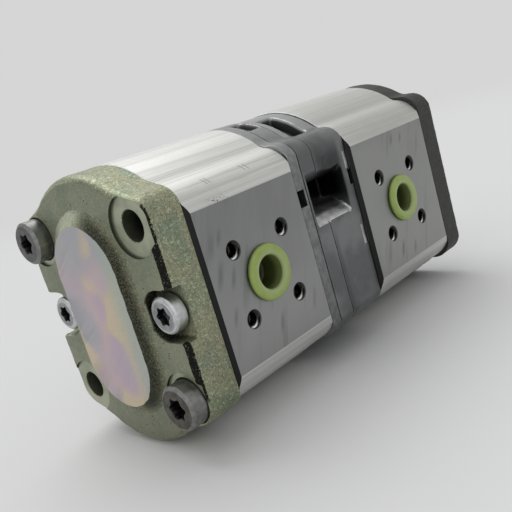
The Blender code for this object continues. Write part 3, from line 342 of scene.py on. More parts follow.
def cut_thread():
    """Ridges of the tapped port holes: painted light where they look up, painted shade elsewhere and with
    depth.
    """
    f = Finish("cut_thread")
    side, level = f.along("Y"), f.along("Z") - PORT_Z
    reach = HOLE_OFFSET[0] + (HOLE_OFFSET[1] - HOLE_OFFSET[0]) * side.ramp(-1.0, 1.0)
    height = level + reach - 2 * reach * level.ramp(-0.5, 0.5) + 0.9 * (side * 2 * math.pi).math("SINE")
    lit = height.ramp(-1.0, -2.2) * abs(side).ramp(34.5, 38.0)
    fine = f.grain(3.0, 2.0, seed=2.0)
    color = f.mix(lit, (0.05, 0.05, 0.048), (0.92, 0.92, 0.90))
    return f.done(color, 1.0, 0.22 + 0.12 * fine)


def passivated_face():
    """Blasted iron under yellow passivated zinc: fine even grain, green clouds, small dark pits and painted
    edge shade.
    """
    f = Finish("passivated_face")
    cloud = f.grain(0.07, 3.0, seed=5.0)
    grit = f.grain(2.8, 3.0, seed=2.0)
    sand = f.flakes(1.9).ramp(0.70, 0.95)
    pit = f.pits(0.55).ramp(0.20, 0.10) * f.grain(0.14, 2.0, seed=8.0).ramp(0.48, 0.56)
    length, level, side = f.along("X"), f.along("Z"), f.along("Y")
    # Painted shade: a jagged dark line along the side edge of the face, by the upper hole.
    jagged = f.grain(0.9, 3.0, seed=27.0)
    edge_shade = (length + 0.9 * jagged).ramp(X_COVER + 2.2, X_COVER + 1.9) * abs(side).ramp(38.0, 38.6)
    edge_shade = edge_shade * abs(level - 30.0).ramp(10.5, 8.5)
    color = f.mix(cloud.ramp(0.35, 0.68), (0.225, 0.258, 0.185), (0.305, 0.318, 0.228))
    color = f.coats(
        color,
        (grit.ramp(0.58, 0.42) * 0.40, (0.12, 0.135, 0.09)),
        (sand * 0.30, (0.44, 0.45, 0.34)),
        (pit + edge_shade, (0.014, 0.014, 0.010)))
    return f.done(color, 0.85, 0.40 + 0.16 * grit, 0.045 * grit + 0.015 * sand - 0.08 * pit)


def passivated_casting():
    """Cast iron skin under yellow passivated zinc: sparkling, with painted shade and a painted highlight."""
    f = Finish("passivated_casting")
    length, level, side = f.along("X"), f.along("Z"), f.along("Y")
    coarse = f.grain(1.0, 3.0, seed=2.0)
    fine = f.grain(2.6, 3.0, seed=6.0)
    sparkle = f.flakes(2.4).ramp(0.80, 0.96)
    tint = f.grain(0.05, 2.0, seed=9.0)
    # Painted shade on the boss flank's -Y side, and a painted highlight on the top of the flank.
    flank = length.ramp(X_COVER + 1.2, X_COVER - 2.0) * side.ramp(-1.0, -11.0)
    flank_highlight = length.ramp(X_COVER + 0.8, X_COVER - 0.6) * side.ramp(-9.0, 1.0) * level.ramp(15.0, 27.0)
    # Painted shade along the side edges next to the back face.
    corner = (length + 1.1 * coarse).ramp(X_COVER + 2.6, X_COVER + 2.2)
    corner = corner * (abs(side) + 1.1 * fine).ramp(37.1, 37.5)
    corner = corner * level.ramp(39.0, 35.0) * level.ramp(-31.0, -28.0)
    # Painted shade on the walls of the side pockets.
    wall = length.ramp(X_COVER + 0.2, X_COVER + 1.2) * abs(level).ramp(9.6, 8.6) * abs(side).ramp(36.0, 30.0)
    gaps = f.grain(2.0, 3.0, seed=23.0)
    color = f.hues(tint, (0.36, (0.235, 0.275, 0.185)), (0.47, (0.31, 0.33, 0.22)),
                   (0.56, (0.335, 0.33, 0.22)), (0.66, (0.25, 0.295, 0.21)))
    color = f.coats(
        color,
        (coarse.ramp(0.52, 0.36) * 0.45, (0.13, 0.145, 0.095)),
        (fine.ramp(0.50, 0.36) * 0.55, (0.09, 0.10, 0.065)),
        (flank_highlight * fine.ramp(0.36, 0.50) * 0.8, (0.62, 0.65, 0.50)),
        (sparkle * 0.55, (0.56, 0.60, 0.44)),
        (flank * (0.80 + 0.20 * gaps.ramp(0.56, 0.46)), (0.030, 0.030, 0.020)),
        (wall * (0.45 + 0.45 * gaps.ramp(0.60, 0.45)), (0.020, 0.020, 0.014)),
        (corner * gaps.ramp(0.72, 0.60), (0.010, 0.010, 0.008)))
    return f.done(color, 0.85, 0.38 + 0.20 * fine - 0.10 * sparkle, 0.08 * coarse + 0.06 * fine)


def boss_plate():
    """Ground top of the boss, with broad rainbow tints of the passivation and tiny pits."""
    f = Finish("boss_plate")
    level, side = f.along("Z"), f.along("Y")
    tint = f.grain(0.040, 0.0, seed=12.0)
    bloom = f.grain(0.075, 0.0, seed=26.0)
    fine = f.grain(2.2, 3.0, seed=15.0)
    pit = f.pits(0.8).ramp(0.11, 0.05) * f.grain(0.3, 2.0, seed=18.0).ramp(0.50, 0.60)
    color = f.hues(tint, (0.30, (0.44, 0.43, 0.47)), (0.46, (0.58, 0.46, 0.48)), (0.58, (0.53, 0.43, 0.50)),
                   (0.72, (0.46, 0.45, 0.50)))
    color = f.coats(
        color,
        (bloom.ramp(0.48, 0.68) * 0.9, (0.64, 0.54, 0.38)),
        (side.ramp(-6.0, -17.0) * 0.8, (0.41, 0.48, 0.42)),
        (level.ramp(14.0, 29.0) * side.ramp(-10.0, 8.0) * 0.8, (0.43, 0.45, 0.47)),
        (fine.ramp(0.5, 0.38) * 0.18, (0.30, 0.30, 0.30)),
        (pit, (0.05, 0.05, 0.045)))
    return f.done(color, 0.9, 0.36 + 0.08 * fine, 0.006 * fine - 0.05 * pit)


def die_casting():
    """Grey die-cast aluminium with a smooth skin, painted shade in its deep recesses and painted highlights
    about its crown.
    """
    f = Finish("die_casting")
    level, side = f.along("Z"), abs(f.along("Y"))
    mottle = f.grain(0.45, 3.0, seed=3.0)
    fine = f.grain(2.4, 3.0, seed=1.0)
    flow = f.grain(0.06, 2.0, seed=14.0)
    from_arch = f.vector("ADD", f.place, (0.0, 0.0, ARCH - CROWN))
    reach = f.vector("MULTIPLY", from_arch, (0.0, 1.0, 1.0)).length()
    length = f.along("X")
    # Painted shade: the side pockets, the roof windows, the scoop above each pocket and a band below the step.
    pocket = side.ramp(38.3, 32.0) * level.ramp(10.5, 12.5) * level.ramp(33.0, 27.0)
    window = reach.ramp(38.6, 35.0) * level.ramp(28.0, 32.0)
    scoop = length.ramp(-94.0, -86.0) * length.ramp(-73.5, -77.0)
    scoop = scoop * level.ramp(38.0, 27.0) * level.ramp(8.0, 14.0)
    shaded = abs(length - X_STEP - 1.2).ramp(2.2, 0.0) * level.ramp(3.0, -6.0)
    # Painted highlights: the arch's skin beside the roof windows, and the top lighter towards the crown.
    lip = reach.ramp(40.2, 39.4) * reach.ramp(37.8, 39.0) * level.ramp(36.0, 40.0)
    color = f.mix(flow.ramp(0.40, 0.66), (0.130, 0.134, 0.136), (0.195, 0.20, 0.202))
    color = f.coats(
        color,
        (mottle.ramp(0.58, 0.74) * 0.4, (0.095, 0.098, 0.10)),
        (shaded * 0.5, (0.06, 0.062, 0.064)),
        (level.ramp(30.0, 44.0) * 0.30, (0.34, 0.345, 0.34)),
        (scoop * 0.75, (0.030, 0.031, 0.032)),
        (pocket * 0.95, (0.006, 0.006, 0.007)),
        (window * 0.75, (0.060, 0.063, 0.065)),
        (lip * 0.5, (0.50, 0.505, 0.50)))
    return f.done(color, 0.92, 0.31 + 0.10 * mottle, 0.014 * mottle + 0.006 * fine)


def plate_casting():
    """Cast edge of the adapter plate, with a painted highlight towards its top."""
    f = Finish("plate_casting")
    mottle = f.grain(0.5, 3.0, seed=5.0)
    lines = f.grain(1.0, 2.0, (0.4, 3.0, 3.0), 5.0)
    color = f.mix(mottle.ramp(0.3, 0.7), (0.165, 0.17, 0.172), (0.245, 0.25, 0.25))
    color = f.mix(f.along("Z").ramp(27.0, 40.0) * 0.4, color, (0.42, 0.425, 0.42))
    return f.done(color, 0.95, 0.36 + 0.12 * mottle, 0.012 * mottle + 0.004 * lines)


def flange_iron():
    """Dark phosphated cast iron."""
    f = Finish("flange_iron")
    coarse = f.grain(0.8, 3.0, seed=2.0)
    fine = f.grain(3.0, 3.0, seed=7.0)
    color = f.mix(coarse.ramp(0.35, 0.65), (0.026, 0.028, 0.024), (0.046, 0.049, 0.042))
    return f.done(color, 0.2, 0.55 + 0.15 * fine, 0.05 * coarse + 0.025 * fine)


def zinc_screw(name, dark, bright):
    """Zinc plated steel, dulled by handling."""
    f = Finish(name)
    rub = f.grain(0.5, 3.0, seed=8.0)
    fine = f.grain(3.2, 3.0, seed=3.0)
    color = f.mix(rub.ramp(0.36, 0.64), dark, bright)
    color = f.mix(fine.ramp(0.48, 0.36) * 0.3, color, dark)
    return f.done(color, 1.0, 0.34 + 0.14 * fine, 0.008 * rub + 0.008 * fine)


def lime_plastic():
    """Soft translucent plastic of the transport plugs, with painted shade deep inside the cup."""
    f = Finish("lime_plastic")
    cloud = f.grain(0.2, 2.0, seed=2.0)
    side = abs(f.along("Y"))
    middle, half = (REAR_PORT_X + FRONT_PORT_X) / 2, (FRONT_PORT_X - REAR_PORT_X) / 2
    from_port = {"X": abs(f.along("X") - middle) - half, "Z": f.along("Z") - PORT_Z}
    reach = f.node("ShaderNodeCombineXYZ", (), from_port).length()
    color = f.mix(cloud.ramp(0.3, 0.7), (0.29, 0.39, 0.09), (0.335, 0.43, 0.12))
    color = f.coats(
        color,
        (reach.ramp(8.6, 6.6) * 0.8, (0.375, 0.445, 0.215)),
        # Painted shade inside the cup, darker with depth.
        (side.ramp(41.3, 40.5) * 0.75, (0.10, 0.125, 0.03)),
        (side.ramp(40.2, 36.0) * 0.92, (0.055, 0.068, 0.018)))
    f.shade(subsurface_weight=0.45, subsurface_scale=0.003, subsurface_radius=(0.9, 1.0, 0.4))
    return f.done(color, 0.0, 0.34 + 0.10 * cloud, 0.02 * cloud)


def even_finish(name, grain, dark, bright, metallic, roughness, spread, height, edges=None):
    """Finish between two colours that varies with one noise, as do its roughness and its relief."""
    f = Finish(name)
    value = f.grain(*grain)
    color = f.mix(value.ramp(*edges) if edges else value, dark, bright)
    return f.done(color, metallic, roughness + spread * value, height * value if height else None)


SKIN = extruded_skin()
PORT_FACE = milled_port_face()
# Painted shade: the milled chamfers and the middle casting's step line are near black.
CHAMFER = even_finish("cut_chamfer", (1.0, 3.0, (6.0, 6.0, 0.25)),
                      (0.016, 0.017, 0.016), (0.035, 0.036, 0.035), 1.0, 0.36, 0.15, 0.004)
SHADED_BORE = shaded_bore()
THREAD = cut_thread()
COVER_FACE = passivated_face()
COVER_CAST = passivated_casting()
SPOT = even_finish("spot_faced", (0.12, 2.0, None, 4.0), (0.30, 0.335, 0.245), (0.42, 0.435, 0.33),
                   0.9, 0.34, 0.10, 0.006, (0.35, 0.65))
# Painted shade on the walls of the spot faces.
SPOT_WALL = even_finish("spot_wall", (0.5, 2.0, None, 4.0), (0.045, 0.05, 0.034), (0.085, 0.092, 0.065),
                        0.85, 0.42, 0.10, 0.0)
BOSS_TOP = boss_plate()
DIE_CAST = die_casting()
BRIGHT_CAST = even_finish("bright_casting", (0.25, 2.0, None, 6.0), (0.46, 0.465, 0.46), (0.66, 0.665, 0.66),
                          1.0, 0.30, 0.12, 0.01, (0.35, 0.65))
MILLED_CAST = even_finish("milled_casting", (1.0, 3.0, (5.0, 0.5, 0.15), 3.0),
                          (0.26, 0.265, 0.265), (0.44, 0.445, 0.44), 1.0, 0.32, 0.16, 0.006)
PLATE_CAST = plate_casting()
FLANGE_CAST = flange_iron()
FLANGE_FACE = even_finish("flange_face", (0.12, 3.0, None, 6.0), (0.16, 0.165, 0.165), (0.26, 0.265, 0.26),
                          1.0, 0.34, 0.14, 0.006)
# The head faces are darker copies of the head finishes: painted shade; the aged face is also browned by wear.
DULL_FACE = zinc_screw("dull_zinc_face", (0.105, 0.107, 0.105), (0.150, 0.152, 0.149))
AGED_FACE = zinc_screw("aged_zinc_face", (0.075, 0.072, 0.060), (0.125, 0.120, 0.104))
DULL_ZINC = zinc_screw("dull_zinc", (0.19, 0.192, 0.182), (0.26, 0.262, 0.25))
BRIGHT_FACE = zinc_screw("bright_zinc_face", (0.27, 0.28, 0.285), (0.36, 0.37, 0.375))
BRIGHT_ZINC = zinc_screw("bright_zinc", (0.50, 0.51, 0.515), (0.62, 0.63, 0.635))
# Painted shade inside the six-lobe recesses.
RECESS_SHADE = zinc_screw("recess_shade", (0.03, 0.03, 0.03), (0.09, 0.09, 0.09))
LIME = lime_plastic()
STEEL = even_finish("ground_steel", (1.0, 3.0, (7.0, 0.6, 0.6), 5.0),
                    (0.44, 0.44, 0.44), (0.60, 0.60, 0.595), 1.0, 0.20, 0.14, 0.003)
BEARING = even_finish("bearing_aluminium", (1.0, 3.0, (3.0, 0.5, 0.5), 2.0),
                      (0.46, 0.455, 0.44), (0.62, 0.615, 0.60), 1.0, 0.30, 0.15, 0.004)
BRONZE = even_finish("lead_bronze", (0.8, 4.0, None, 1.0), (0.34, 0.23, 0.13), (0.52, 0.38, 0.24),
                     0.95, 0.34, 0.16, 0.01)
RUBBER = even_finish("black_rubber", (0.6, 3.0, None, 1.0), (0.012, 0.012, 0.012), (0.03, 0.03, 0.03),
                     0.0, 0.5, 0.2, 0.02)


# Shapes


def arc(centre, radius, start, end, steps):
    """Points on an arc of the YZ plane, ends included, with angles counted from +Y towards +Z."""
    angles = [start + (end - start) * i / steps for i in range(steps + 1)]
    return [(centre[0] + radius * math.cos(a), centre[1] + radius * math.sin(a)) for a in angles]


def angle_towards(start, end):
    return math.atan2(end[1] - start[1], end[0] - start[0])


def housing_outline(flat, lobe, blend_radius, grow=0.0):
    """An arch, a hollow blend and a bolt lobe in each quarter, with flats between the lobes."""
    flat, blend_radius = flat + grow, blend_radius - grow
    arch_radius, lobe_radius = ARCH + grow, lobe[2] + grow
    arch, lobe = (0.0, CROWN - ARCH), lobe[:2]
    distance = math.dist(arch, lobe)
    to_arch, to_lobe = arch_radius + blend_radius, lobe_radius + blend_radius
    along = (to_arch ** 2 - to_lobe ** 2 + distance ** 2) / (2 * distance)
    aside = math.sqrt(to_arch ** 2 - along ** 2)
    unit = ((lobe[0] - arch[0]) / distance, (lobe[1] - arch[1]) / distance)
    blend = (arch[0] + along * unit[0] - aside * unit[1], arch[1] + along * unit[1] + aside * unit[0])
    last = math.acos(min(1.0, (flat - lobe[0]) / lobe_radius))
    quarter = arc(arch, arch_radius, math.pi / 2, angle_towards(arch, blend), 32)
    quarter += arc(blend, blend_radius, angle_towards(blend, arch), angle_towards(blend, lobe), 12)[1:]
    quarter += arc(lobe, lobe_radius, angle_towards(lobe, blend), last, 24)[1:]
    right = quarter + [(y, -z) for y, z in reversed(quarter)]
    left = [(-y, z) for y, z in reversed(right)]
    return right + left[1:-1]


body_outline = partial(housing_outline, BODY_FLAT, BODY_LOBE, BLEND)
plate_outline = partial(housing_outline, MIDDLE_FLAT, MIDDLE_LOBE, BLEND)
middle_outline = partial(housing_outline, MIDDLE_FLAT + 0.1, MIDDLE_LOBE, BLEND)
cover_outline = partial(housing_outline, COVER_FLAT + 0.5, CAST_LOBE, COVER_BLEND)
flange_outline = partial(housing_outline, FLANGE_FLAT + 0.1, CAST_LOBE, BLEND)


def twin_bore(radius):
    """Outline of two overlapping circles about the shafts."""
    steps = 60
    waist = math.asin(SHAFT_Z / radius)
    upper = arc((0.0, SHAFT_Z), radius, -waist, math.pi + waist, steps)
    lower = arc((0.0, -SHAFT_Z), radius, math.pi - waist, 2 * math.pi + waist, steps)
    return upper + lower[1:-1]


def racetrack(radius, half_height):
    """Outline of two half circles joined by straight sides."""
    steps, rise = 32, half_height - radius
    upper = arc((0.0, rise), radius, 0.0, math.pi, steps)
    return upper + arc((0.0, -rise), radius, math.pi, 2 * math.pi, steps)


def facing(direction, x, y, z):
    """Place whose local Z runs along a direction."""
    turn = Vector(direction).to_track_quat("Z", "Y").to_matrix().to_4x4()
    return Matrix.Translation((x, y, z)) @ turn


def along_x(direction, x, points):
    """Places at (y, z) points of one plane across the shafts."""
    return [facing(direction, x, y, z) for y, z in points]


REARWARD = (-1, 0, 0)
FORWARD = (1, 0, 0)
DRIVE_AXIS = along_x(FORWARD, 0.0, SHAFTS[1:])
OUTWARD = {"outlet": (0, -1, 0), "inlet": (0, 1, 0)}
INWARD = {"outlet": (0, 1, 0), "inlet": (0, -1, 0)}


def add_object(name, data):
    obj = bpy.data.objects.new(name, data)
    bpy.context.scene.collection.objects.link(obj)
    return obj


def solid(name, shape):
    """Turns a bmesh in millimetres into an object whose place is in its mesh."""
    bmesh.ops.remove_doubles(shape, verts=shape.verts, dist=0.0005)
    bmesh.ops.recalc_face_normals(shape, faces=shape.faces)
    bmesh.ops.scale(shape, vec=(MM, MM, MM), verts=shape.verts)
    mesh = bpy.data.meshes.new(name)
    shape.to_mesh(mesh)
    shape.free()
    return add_object(name, mesh)


def skin_rings(shape, rings, capped=True, closed=False):
    """Covers rings of points that follow one another, with flat ends or joined end to end."""
    loops = [[shape.verts.new(point) for point in ring] for ring in rings]
    pairs = list(zip(loops, loops[1:])) + ([(loops[-1], loops[0])] if closed else [])
    for low, high in pairs:
        for i in range(len(low)):
            j = (i + 1) % len(low)
            shape.faces.new((low[i], low[j], high[j], high[i]))
    if capped and not closed:
        shape.faces.new(loops[0][::-1])
        shape.faces.new(loops[-1])


def lofted(name, slices):
    """Solid through (x, outline) slices whose outlines have the same number of points."""
    shape = bmesh.new()
    skin_rings(shape, [[(x, y, z) for y, z in outline] for x, outline in slices])
    return solid(name, shape)


def edged(name, outline, low, high, edge):
    """Solid of one outline with a small bevel at both ends."""
    return lofted(name, [(low, outline(-edge)), (low + edge, outline()), (high - edge, outline()),
                         (high, outline(-edge))])


def hollow_loft(name, outer, inner, x_low, x_high):
    """Ring shaped solid between two outlines."""
    shape = bmesh.new()
    skin_rings(shape, [[(x, y, z) for y, z in outline]
                       for x, outline in ((x_low, outer), (x_high, outer), (x_high, inner), (x_low, inner))],
               closed=True)
    return solid(name, shape)


def rounded_path(corners, steps=4):
    """Polyline through (radius, height, fillet) corners, each rounded by its fillet."""
    path = []
    for i, (radius, height, fillet) in enumerate(corners):
        here = Vector((radius, height))
        if not fillet or i in (0, len(corners) - 1):
            path.append((radius, height))
            continue
        before = (Vector(corners[i - 1][:2]) - here).normalized()
        after = (Vector(corners[i + 1][:2]) - here).normalized()
        half = before.angle(after) / 2
        reach = fillet / math.tan(half)
        centre = here + (before + after).normalized() * (fillet / math.sin(half))
        start, end = here + before * reach - centre, here + after * reach - centre
        turn = start.angle_signed(end)
        for step in range(steps + 1):
            point = centre + Matrix.Rotation(-turn * step / steps, 2) @ start
            path.append((point.x, point.y))
    return path


def turned(name, places, profile, segments=64):
    """Bodies of revolution, one at each place.

    The profile's (radius, height) points run from end to end of the outside. One that doesn't start and
    end on the axis closes on itself.
    """
    shape = bmesh.new()
    closed = profile[0][0] > 0 and profile[-1][0] > 0
    for place in places:
        rings = []
        for radius, height in profile:
            angles = [2 * math.pi * i / segments for i in range(segments)]
            points = [(radius * math.cos(a), radius * math.sin(a), height) for a in angles]
            rings.append([place @ Vector(point) for point in points])
        skin_rings(shape, rings, capped=False, closed=closed)
    bmesh.ops.dissolve_degenerate(shape, dist=0.0005, edges=shape.edges)
    return solid(name, shape)


def drill(name, places, profile, segments=64):
    """Stepped cutters. The (radius, depth) profile runs inwards along each place's local Z."""
    ends = [(0.0, profile[0][1]), *profile, (0.0, profile[-1][1])]
    return turned(name, places, ends, segments)


def bolt_bores(x, depth):
    return drill("bolt_holes", along_x(FORWARD, x, BOLT_SQUARE), [(BOLT_HOLE, 0.0), (BOLT_HOLE, depth)])


def coupling_bore(direction, x, depth):
    wide, narrow = COUPLING_BORE
    return drill("coupling_bore", along_x(direction, x, SHAFTS[1:]),
                 [(wide, -2.0), (wide, 4.5), (narrow, 4.5), (narrow, depth)])


def journal_relief(direction, x, points):
    return drill("journal_relief", along_x(direction, x, points),
                 [(JOURNAL_BORE, -2.0), (JOURNAL_BORE, 3.0)])


def seal_groove(low, high):
    outer, inner = SEAL_GROOVE
    return hollow_loft("seal_groove", racetrack(*outer), racetrack(*inner), low, high)


def weep_slot(low, high):
    return block("weep_slot", (low, -PAST_SIDE, SHAFT_Z - 3.2), (high, -27.0, SHAFT_Z + 3.2))


def block(name, low, high):
    return lofted(name, [(x, [(low[1], low[2]), (high[1], low[2]), (high[1], high[2]), (low[1], high[2])])
                         for x in (low[0], high[0])])


def settle(piece):
    """Turns a piece and its modifiers into a plain mesh."""
    bpy.context.view_layer.update()
    mesh = bpy.data.meshes.new_from_object(piece.evaluated_get(bpy.context.evaluated_depsgraph_get()))
    piece.modifiers.clear()
    old, piece.data = piece.data, mesh
    bpy.data.meshes.remove(old)
    return piece


def combine(piece, operation, *others):
    """Cuts a solid with others, or joins or crosses it with them. The others go."""
    for other in others:
        step = piece.modifiers.new("step", "BOOLEAN")
        step.operation = operation
        step.solver = "MANIFOLD"
        step.object = other
        settle(piece)
        bpy.data.objects.remove(other)
    return piece


def cut(piece, *cutters):
    return combine(piece, "DIFFERENCE", *cutters)


def cast(piece, cell, rounds, waviness, seed):
    """Softens a solid the way a mould does: even cells, rounded corners and a slightly uneven skin."""
    grid = piece.modifiers.new("grid", "REMESH")
    grid.mode = "VOXEL"
    grid.voxel_size = cell * MM
    soften = piece.modifiers.new("soften", "SMOOTH")
    soften.factor = 0.5
    soften.iterations = rounds
    settle(piece)
    offset = Vector((seed, 2 * seed, 3 * seed))
    count = len(piece.data.vertices)
    places, normals = np.zeros(count * 3), np.zeros(count * 3)
    piece.data.vertices.foreach_get("co", places)
    piece.data.vertex_normals.foreach_get("vector", normals)
    places, normals = places.reshape(-1, 3), normals.reshape(-1, 3)
    swell = [noise.noise(place * 0.22 + offset) + 0.6 * noise.noise(place * 0.7 + offset)
             for place in map(Vector, places / MM)]
    places += normals * (np.array(swell)[:, None] * waviness * MM)
    piece.data.vertices.foreach_set("co", places.ravel())
    piece.data.update()
    return piece


def crisp(piece, angle=30.0):
    piece.data.shade_smooth()
    piece.data.set_sharp_from_angle(angle=math.radians(angle))
    return piece


def finish_faces(piece, main, *regions):
    """Gives each face the main finish, or the last of the (finish, test) regions whose test it meets."""
    mesh = piece.data
    mesh.materials.clear()
    for material in (main, *[finish for finish, _ in regions]):
        mesh.materials.append(material)
    count = len(mesh.polygons)
    centres, normals = np.zeros(count * 3), np.zeros(count * 3)
    mesh.polygons.foreach_get("center", centres)
    mesh.polygons.foreach_get("normal", normals)
    place = centres.reshape(-1, 3).T / MM
    normal = normals.reshape(-1, 3).T
    indices = np.zeros(count, dtype=np.int32)
    for index, (_, test) in enumerate(regions, start=1):
        indices[test(place, normal)] = index
    mesh.polygons.foreach_set("material_index", indices)
    mesh.update()
    return crisp(piece)


def fit(piece, body, slot, *replaced):
    """Lets a finished piece ride on its body and stand for the plain solids that it replaces."""
    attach(piece, body)
    if replaced:
        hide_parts(*replaced)
    return piece


def plane_at(axis, value):
    """Test for flat faces that lie in one plane across an axis."""
    return lambda place, normal: (abs(normal[axis]) > 0.999) & (abs(place[axis] - value) < 0.02)


def near_bolt(radius):
    """Test for the walls of the bolt holes."""
    def test(place, normal):
        found = np.zeros(place.shape[1], dtype=bool)
        for y, z in BOLT_SQUARE:
            inward = normal[1] * (place[1] - y) + normal[2] * (place[2] - z) < 0
            found |= (np.hypot(place[1] - y, place[2] - z) < radius) & (abs(normal[0]) < 0.5) & inward
        return found
    return test


# Bodies


def port_screws(x, kind, depth):
    """Places of the four screw holes of a port, some way below its face."""
    offset, y = PORTS[kind][1], OUTWARD[kind][1] * (BODY_FLAT - depth)
    return [facing(INWARD[kind], x + i * offset, y, PORT_Z + j * offset) for i in (-1, 1) for j in (-1, 1)]


def port_holes(x, kind):
    """Cutters for a port and its four screw holes."""
    radius, lip = PORTS[kind][0], PORTS[kind][0] + 0.3
    bore = drill("port_bore", [facing(INWARD[kind], x, OUTWARD[kind][1] * BODY_FLAT, PORT_Z)],
                 [(lip, -1.0), (lip, 0.0), (radius, 0.4), (radius, 31.0)])
    holes = drill("port_screw_holes", port_screws(x, kind, 0.0),
                  [(PORT_THREAD + 1.0, -0.7), (PORT_THREAD, 0.3), (PORT_THREAD, 12.0), (0.4, 14.0)], 40)
    return bore, holes


def chamfer_cutters(x, inward):
    """Prisms that mill the long chamfers along both flats at one end of a body."""
    cutters = []
    for side in (-1, 1):
        slope, past = 6.0, 2.0
        y = side * (BODY_FLAT - CHAMFER_DEPTH)
        far, outside = y + side * slope, x - inward * past
        profile = [(x, y), (x + inward * slope, far), (outside, far), (outside, y - side * past)]
        shape = bmesh.new()
        skin_rings(shape, [[(px, py, z) for px, py in profile] for z in (-WIDE, WIDE)])
        cutters.append(solid("chamfer_cutter", shape))
    return cutters


def build_body(name, x_low, x_high, port_x, screw_holes):
    """Extruded gear housing: drawn skin, milled port faces, milled end chamfers, gear chamber and ports."""
    edge = 0.25
    piece = edged(name, body_outline, x_low, x_high, edge)
    cut(piece, lofted("chamber", [(x_low - 2, twin_bore(BORE)), (x_high + 2, twin_bore(BORE))]),
        bolt_bores(x_low - 2.0, x_high - x_low + 4.0),
        *chamfer_cutters(x_low, 1), *chamfer_cutters(x_high, -1),
        *port_holes(port_x, "outlet"), *port_holes(port_x, "inlet"))
    if screw_holes:
        cut(piece, drill("cover_screw_threads", along_x(FORWARD, x_low, COVER_SCREWS),
                         [(SCREW_HOLE, -2.0), (SCREW_HOLE, 13.0)]))

    def on_flat(place, normal):
        return (abs(normal[1]) > 0.9999) & (abs(abs(place[1]) - BODY_FLAT) < 0.02)

    def on_chamfer(place, normal):
        return (abs(normal[0]) > 0.5) & (abs(normal[1]) > 0.5)

    def on_bore(place, normal):
        port = np.hypot(place[0] - port_x, place[2] - PORT_Z) < 11.0
        for offset in HOLE_OFFSET:
            port |= np.hypot(abs(place[0] - port_x) - offset, abs(place[2] - PORT_Z) - offset) < 3.6
        inner = (abs(place[1]) < 25.0) & (abs(place[2]) < 40.0)
        return (port & (abs(place[1]) < BODY_FLAT - 0.01)) | inner

    finish_faces(piece, SKIN, (MILLED_CAST, plane_at(0, x_low)), (MILLED_CAST, plane_at(0, x_high)),
                 (CHAMFER, on_chamfer), (PORT_FACE, on_flat), (SHADED_BORE, on_bore),
                 (SHADED_BORE, near_bolt(5.6)))
    return fit(piece, "housing", "extruded_aluminium", name)


build_body("rear_body", X_REAR_BODY + GAP, X_PLATE, REAR_PORT_X, True)
build_body("front_body", X_FRONT_BODY + GAP, X_FLANGE, FRONT_PORT_X, False)


# Rear cover


def build_rear_cover():
    """Thick casting: rough skin, milled back and sides, spot-faced holes, side pockets and an oval boss."""
    rounding = 3.3
    slices = [(X_REAR_BODY + 2.0, cover_outline(-0.2))]
    for step in range(7):
        angle = step * math.pi / 12
        height, sink = rounding * (1 - math.sin(angle)), rounding * (1 - math.cos(angle))
        slices.append((X_COVER - 0.35 + height, cover_outline(-0.2 - sink)))
    base = lofted("rear_cover", slices)
    pockets = []
    for side in (-1, 1):
        round_end = arc((SCREW_Y, 0.0), POCKET + 0.2, math.pi / 2, 3 * math.pi / 2, 32)
        sides = [(PAST_SIDE, POCKET + 0.2), *round_end, (PAST_SIDE, -POCKET - 0.2)]
        outline = [(side * y, z) for y, z in sides]
        pockets.append(lofted("pocket", [(X_COVER - 3.0, outline), (X_POCKET_FLOOR, outline)]))
    cut(base, *pockets)
    cast(base, 0.55, 4, 0.13, 3.0)
    combine(base, "INTERSECT",
            block("milled_faces", (X_COVER, -COVER_FLAT, -WIDE), (X_REAR_BODY, COVER_FLAT, WIDE)))
    combine(base, "UNION", build_boss())
    lip, seat, floor = 0.25, 8.3, X_BOLT_SEAT - X_COVER
    spot, through = [(SPOT_FACE, -6.0), (SPOT_FACE, 1.0)], (BOLT_HOLE, 18.0)
    cut(base,
        drill("open_holes", along_x(FORWARD, X_COVER, OPEN_HOLES),
              [*spot, (BOLT_HOLE + lip, 1.0), (BOLT_HOLE, 1.0 + lip), through]),
        drill("bolt_seats", [facing(FORWARD, X_COVER, y, z) for _, y, z in LONG_BOLTS],
              [*spot, (seat + lip, 1.0), (seat, 1.0 + lip), (seat, floor), (BOLT_HOLE, floor), through]),
        drill("screw_holes", along_x(FORWARD, X_POCKET_FLOOR, COVER_SCREWS),
              [(SCREW_HOLE, -3.0), (SCREW_HOLE, 12.0)]),
        journal_relief(REARWARD, X_REAR_BODY, SHAFTS), seal_groove(X_REAR_BODY - 2.5, X_REAR_BODY + 2.0))

    def on_spot(place, normal):
        by_hole = (abs(place[1]) > 18.0) & (abs(place[2]) > 15.0)
        return (normal[0] < -0.99) & (place[0] > X_COVER + 0.5) & by_hole

    finish_faces(base, COVER_CAST, (COVER_FACE, plane_at(0, X_COVER)),
                 (MILLED_CAST, plane_at(0, X_REAR_BODY)), (BOSS_TOP, plane_at(0, X_COVER - BOSS_RISE)),
                 (SPOT, on_spot), (SPOT_WALL, near_bolt(10.8)), (SHADED_BORE, near_bolt(8.8)))
    return fit(base, "housing", "zinc_plated_iron", "rear_cover")


def build_boss():
    """Oval boss with sloping flanks and a hollow fillet at its foot, ground flat on top."""
    top, half = BOSS
    profile = [(5.9, 2.0), (5.8, 0.3), (4.6, -0.1), (3.5, -0.6), (0.9, -2.6), (0.3, -3.2), (-0.6, -3.6),
               (-4.0, -3.7)]
    slices = [(X_COVER + height, racetrack(top + flank, half + flank)) for flank, height in profile]
    boss = lofted("boss", slices)
    cast(boss, 0.5, 2, 0.16, 8.0)
    ground = block("ground_top", (X_COVER - BOSS_RISE, -WIDE, -WIDE), (X_COVER + 1.2, WIDE, WIDE))
    return combine(boss, "INTERSECT", ground)


build_rear_cover()


# Middle section


